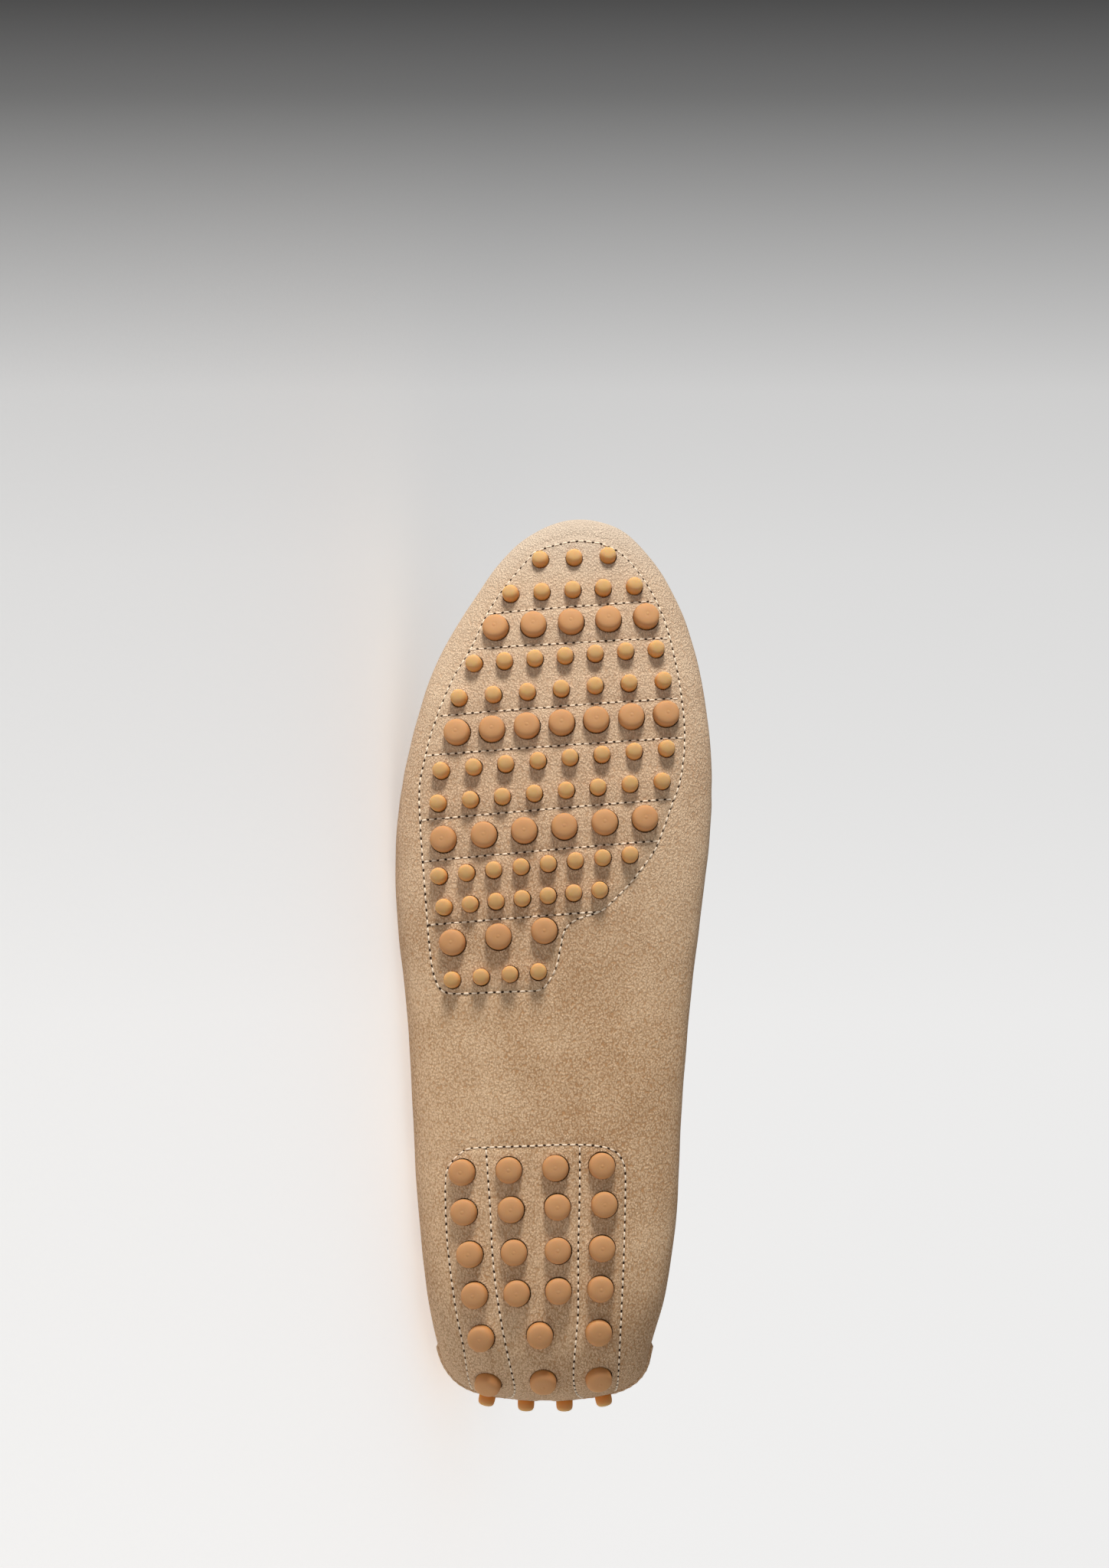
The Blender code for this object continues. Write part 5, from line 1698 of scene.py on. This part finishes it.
class MoccasinSizes(bpy.types.PropertyGroup):
    """Sizes that a user may change."""

    stitch_pitch: length("Stitch pitch", "Length of one machine stitch", 2.6, 1, 8)
    thread_thickness: length("Thread thickness", "Thickness of the sewing thread", 0.55, 0.1, 2)
    needle_hole: length("Needle hole", "Length of a needle hole", 1.05, 0.1, 3)
    stitch_trough: length("Stitch trough", "How deep a line of stitches draws the suede in", 0.52, 0, 2)
    plate_relief: length("Plate relief", "How far the rubber plates lift the suede", 0.30, 0, 2)
    hole_clearance: length("Hole clearance", "Gap between a stud and its punched hole", 0.22, 0.1, 2)
    hand_stitch_pitch: length("Hand stitch pitch", "Distance between the seam's hand stitches", 6, 2, 20)
    nap_grain: length("Nap grain", "Size of one tuft of the nap", 0.62, 0.1, 5)
    suede_rings: count("Suede rings", "Rings of the suede from heel to toe", 310, 40, 400)
    suede_columns: count("Suede columns", "Steps across half of the bottom", 66, 16, 90)
    key_power: power("Key light", "Power of the main light", 18.4)
    bounce_power: power("Heel bounce", "Power of the soft light from the heel's side", 2.3)
    room_light: strength("Room light", "Strength of the light from all round", 0.39)
    paper_glow: strength("Paper glow", "Light of its own that keeps the paper pale", 0.51)
    camera_distance: length("Camera distance", "Distance from the camera to the sole", 1350, 300, 5000)


class MoccasinColours(bpy.types.PropertyGroup):
    """Colours that a user may change."""

    # The nap goes from the dark colour to the light one with the fibres' height: painted shade in its depths,
    # painted light on its raised fibres.
    suede_light: tint("Suede, light", "Raised fibres of the nap", (0.89, 0.64, 0.415))
    suede_dark: tint("Suede, dark", "Depth of the nap", (0.46, 0.255, 0.12))
    suede_cut: tint("Suede, cut edge", "Walls of the punched holes", (0.20, 0.09, 0.04))
    # A stud's colour goes from its root to its tip: painted light, with a paler lit tip and a deeper orange
    # glow through the rubber at the root.
    large_stud: tint("Large stud", "Tip of a large stud", (0.47, 0.250, 0.112))
    large_stud_root: tint("Large stud, root", "Root of a large stud", (0.43, 0.175, 0.050))
    small_stud: tint("Small stud", "Tip of a small stud", (0.48, 0.305, 0.132))
    small_stud_root: tint("Small stud, root", "Root of a small stud", (0.58, 0.200, 0.035))
    thread: tint("Thread", "Sewing thread", (0.86, 0.72, 0.56))
    # The needle holes are flat spots of this colour: painted shade.
    needle_hole: tint("Needle hole", "Depth of a needle hole", (0.05, 0.03, 0.02))
    lining: tint("Lining", "Lining leather", (0.62, 0.47, 0.33))
    paper: tint("Paper", "Studio floor", (1.0, 1.0, 1.0))


def settings(context):
    return context.scene.moccasin_sizes, context.scene.moccasin_colours


class MOCCASIN_OT_upper(bpy.types.Operator):
    """Makes the suede wrap with its holes, creases and lining"""

    bl_idname = "moccasin.upper"
    bl_label = "Suede upper"
    bl_options = {"REGISTER", "UNDO"}

    def execute(self, context):
        make_upper(*settings(context))
        return {"FINISHED"}


class MOCCASIN_OT_forepart_rubber(bpy.types.Operator):
    """Makes the forepart plate and its studs"""

    bl_idname = "moccasin.forepart_rubber"
    bl_label = "Forepart rubber"
    bl_options = {"REGISTER", "UNDO"}

    def execute(self, context):
        make_forepart_rubber(*settings(context))
        return {"FINISHED"}


class MOCCASIN_OT_heel_rubber(bpy.types.Operator):
    """Makes the heel plate and its studs"""

    bl_idname = "moccasin.heel_rubber"
    bl_label = "Heel rubber"
    bl_options = {"REGISTER", "UNDO"}

    def execute(self, context):
        make_heel_rubber(*settings(context))
        return {"FINISHED"}


class MOCCASIN_OT_sole_stitches(bpy.types.Operator):
    """Sews the lines of stitches in the suede bottom"""

    bl_idname = "moccasin.sole_stitches"
    bl_label = "Sole stitches"
    bl_options = {"REGISTER", "UNDO"}

    def execute(self, context):
        make_sole_stitches(*settings(context))
        return {"FINISHED"}


class MOCCASIN_OT_hole_fibres(bpy.types.Operator):
    """Makes the loose fibres round the punched holes"""

    bl_idname = "moccasin.hole_fibres"
    bl_label = "Hole fibres"
    bl_options = {"REGISTER", "UNDO"}

    def execute(self, context):
        make_hole_fibres(*settings(context))
        return {"FINISHED"}


class MOCCASIN_OT_insole(bpy.types.Operator):
    """Makes the sock on its board and the lining over the heel plate"""

    bl_idname = "moccasin.insole"
    bl_label = "Sock and heel lining"
    bl_options = {"REGISTER", "UNDO"}

    def execute(self, context):
        make_insole(*settings(context))
        make_heel_lining(*settings(context))
        return {"FINISHED"}


class MOCCASIN_OT_apron(bpy.types.Operator):
    """Makes the plug of the vamp with its tongue"""

    bl_idname = "moccasin.apron"
    bl_label = "Apron and tongue"
    bl_options = {"REGISTER", "UNDO"}

    def execute(self, context):
        make_apron(*settings(context))
        return {"FINISHED"}


class MOCCASIN_OT_seam(bpy.types.Operator):
    """Makes the raised seam round the apron and its stitches"""

    bl_idname = "moccasin.seam"
    bl_label = "Hand-sewn seam"
    bl_options = {"REGISTER", "UNDO"}

    def execute(self, context):
        make_seam(*settings(context))
        return {"FINISHED"}


class MOCCASIN_OT_topline(bpy.types.Operator):
    """Makes the rolled binding of the collar and its stitches"""

    bl_idname = "moccasin.topline"
    bl_label = "Collar binding"
    bl_options = {"REGISTER", "UNDO"}

    def execute(self, context):
        make_topline(*settings(context))
        return {"FINISHED"}


class MOCCASIN_OT_counter(bpy.types.Operator):
    """Makes the patch over the back of the heel and its stitches"""

    bl_idname = "moccasin.counter"
    bl_label = "Heel patch"
    bl_options = {"REGISTER", "UNDO"}

    def execute(self, context):
        make_counter(*settings(context))
        return {"FINISHED"}


class MOCCASIN_OT_stage(bpy.types.Operator):
    """Makes the paper, the lights and the camera"""

    bl_idname = "moccasin.stage"
    bl_label = "Studio"
    bl_options = {"REGISTER", "UNDO"}

    def execute(self, context):
        make_stage(*settings(context))
        return {"FINISHED"}


OPERATORS = (
    MOCCASIN_OT_upper,
    MOCCASIN_OT_forepart_rubber,
    MOCCASIN_OT_heel_rubber,
    MOCCASIN_OT_sole_stitches,
    MOCCASIN_OT_hole_fibres,
    MOCCASIN_OT_insole,
    MOCCASIN_OT_apron,
    MOCCASIN_OT_seam,
    MOCCASIN_OT_topline,
    MOCCASIN_OT_counter,
    MOCCASIN_OT_stage,
)


class MOCCASIN_PT_sidebar(bpy.types.Panel):
    """Lists the shoe's pieces, sizes and colours."""

    bl_idname = "MOCCASIN_PT_sidebar"
    bl_label = "Driving Moccasin"
    bl_space_type = "VIEW_3D"
    bl_region_type = "UI"
    bl_category = "Moccasin"

    def draw(self, context):
        for made in OPERATORS:
            self.layout.operator(made.bl_idname)
        for group in (context.scene.moccasin_sizes, context.scene.moccasin_colours):
            box = self.layout.box()
            for name in group.__annotations__:
                box.prop(group, name)


CLASSES = (MoccasinSizes, MoccasinColours, *OPERATORS, MOCCASIN_PT_sidebar)


def register():
    for made in CLASSES:
        bpy.utils.register_class(made)
    bpy.types.Scene.moccasin_sizes = PointerProperty(type=MoccasinSizes)
    bpy.types.Scene.moccasin_colours = PointerProperty(type=MoccasinColours)


def unregister():
    del bpy.types.Scene.moccasin_colours
    del bpy.types.Scene.moccasin_sizes
    for made in reversed(CLASSES):
        bpy.utils.unregister_class(made)


def main():
    register()
    for made in OPERATORS:
        group, name = made.bl_idname.split(".")
        getattr(getattr(bpy.ops, group), name)()
    bpy.context.view_layer.update()


if __name__ == "__main__":
    main()
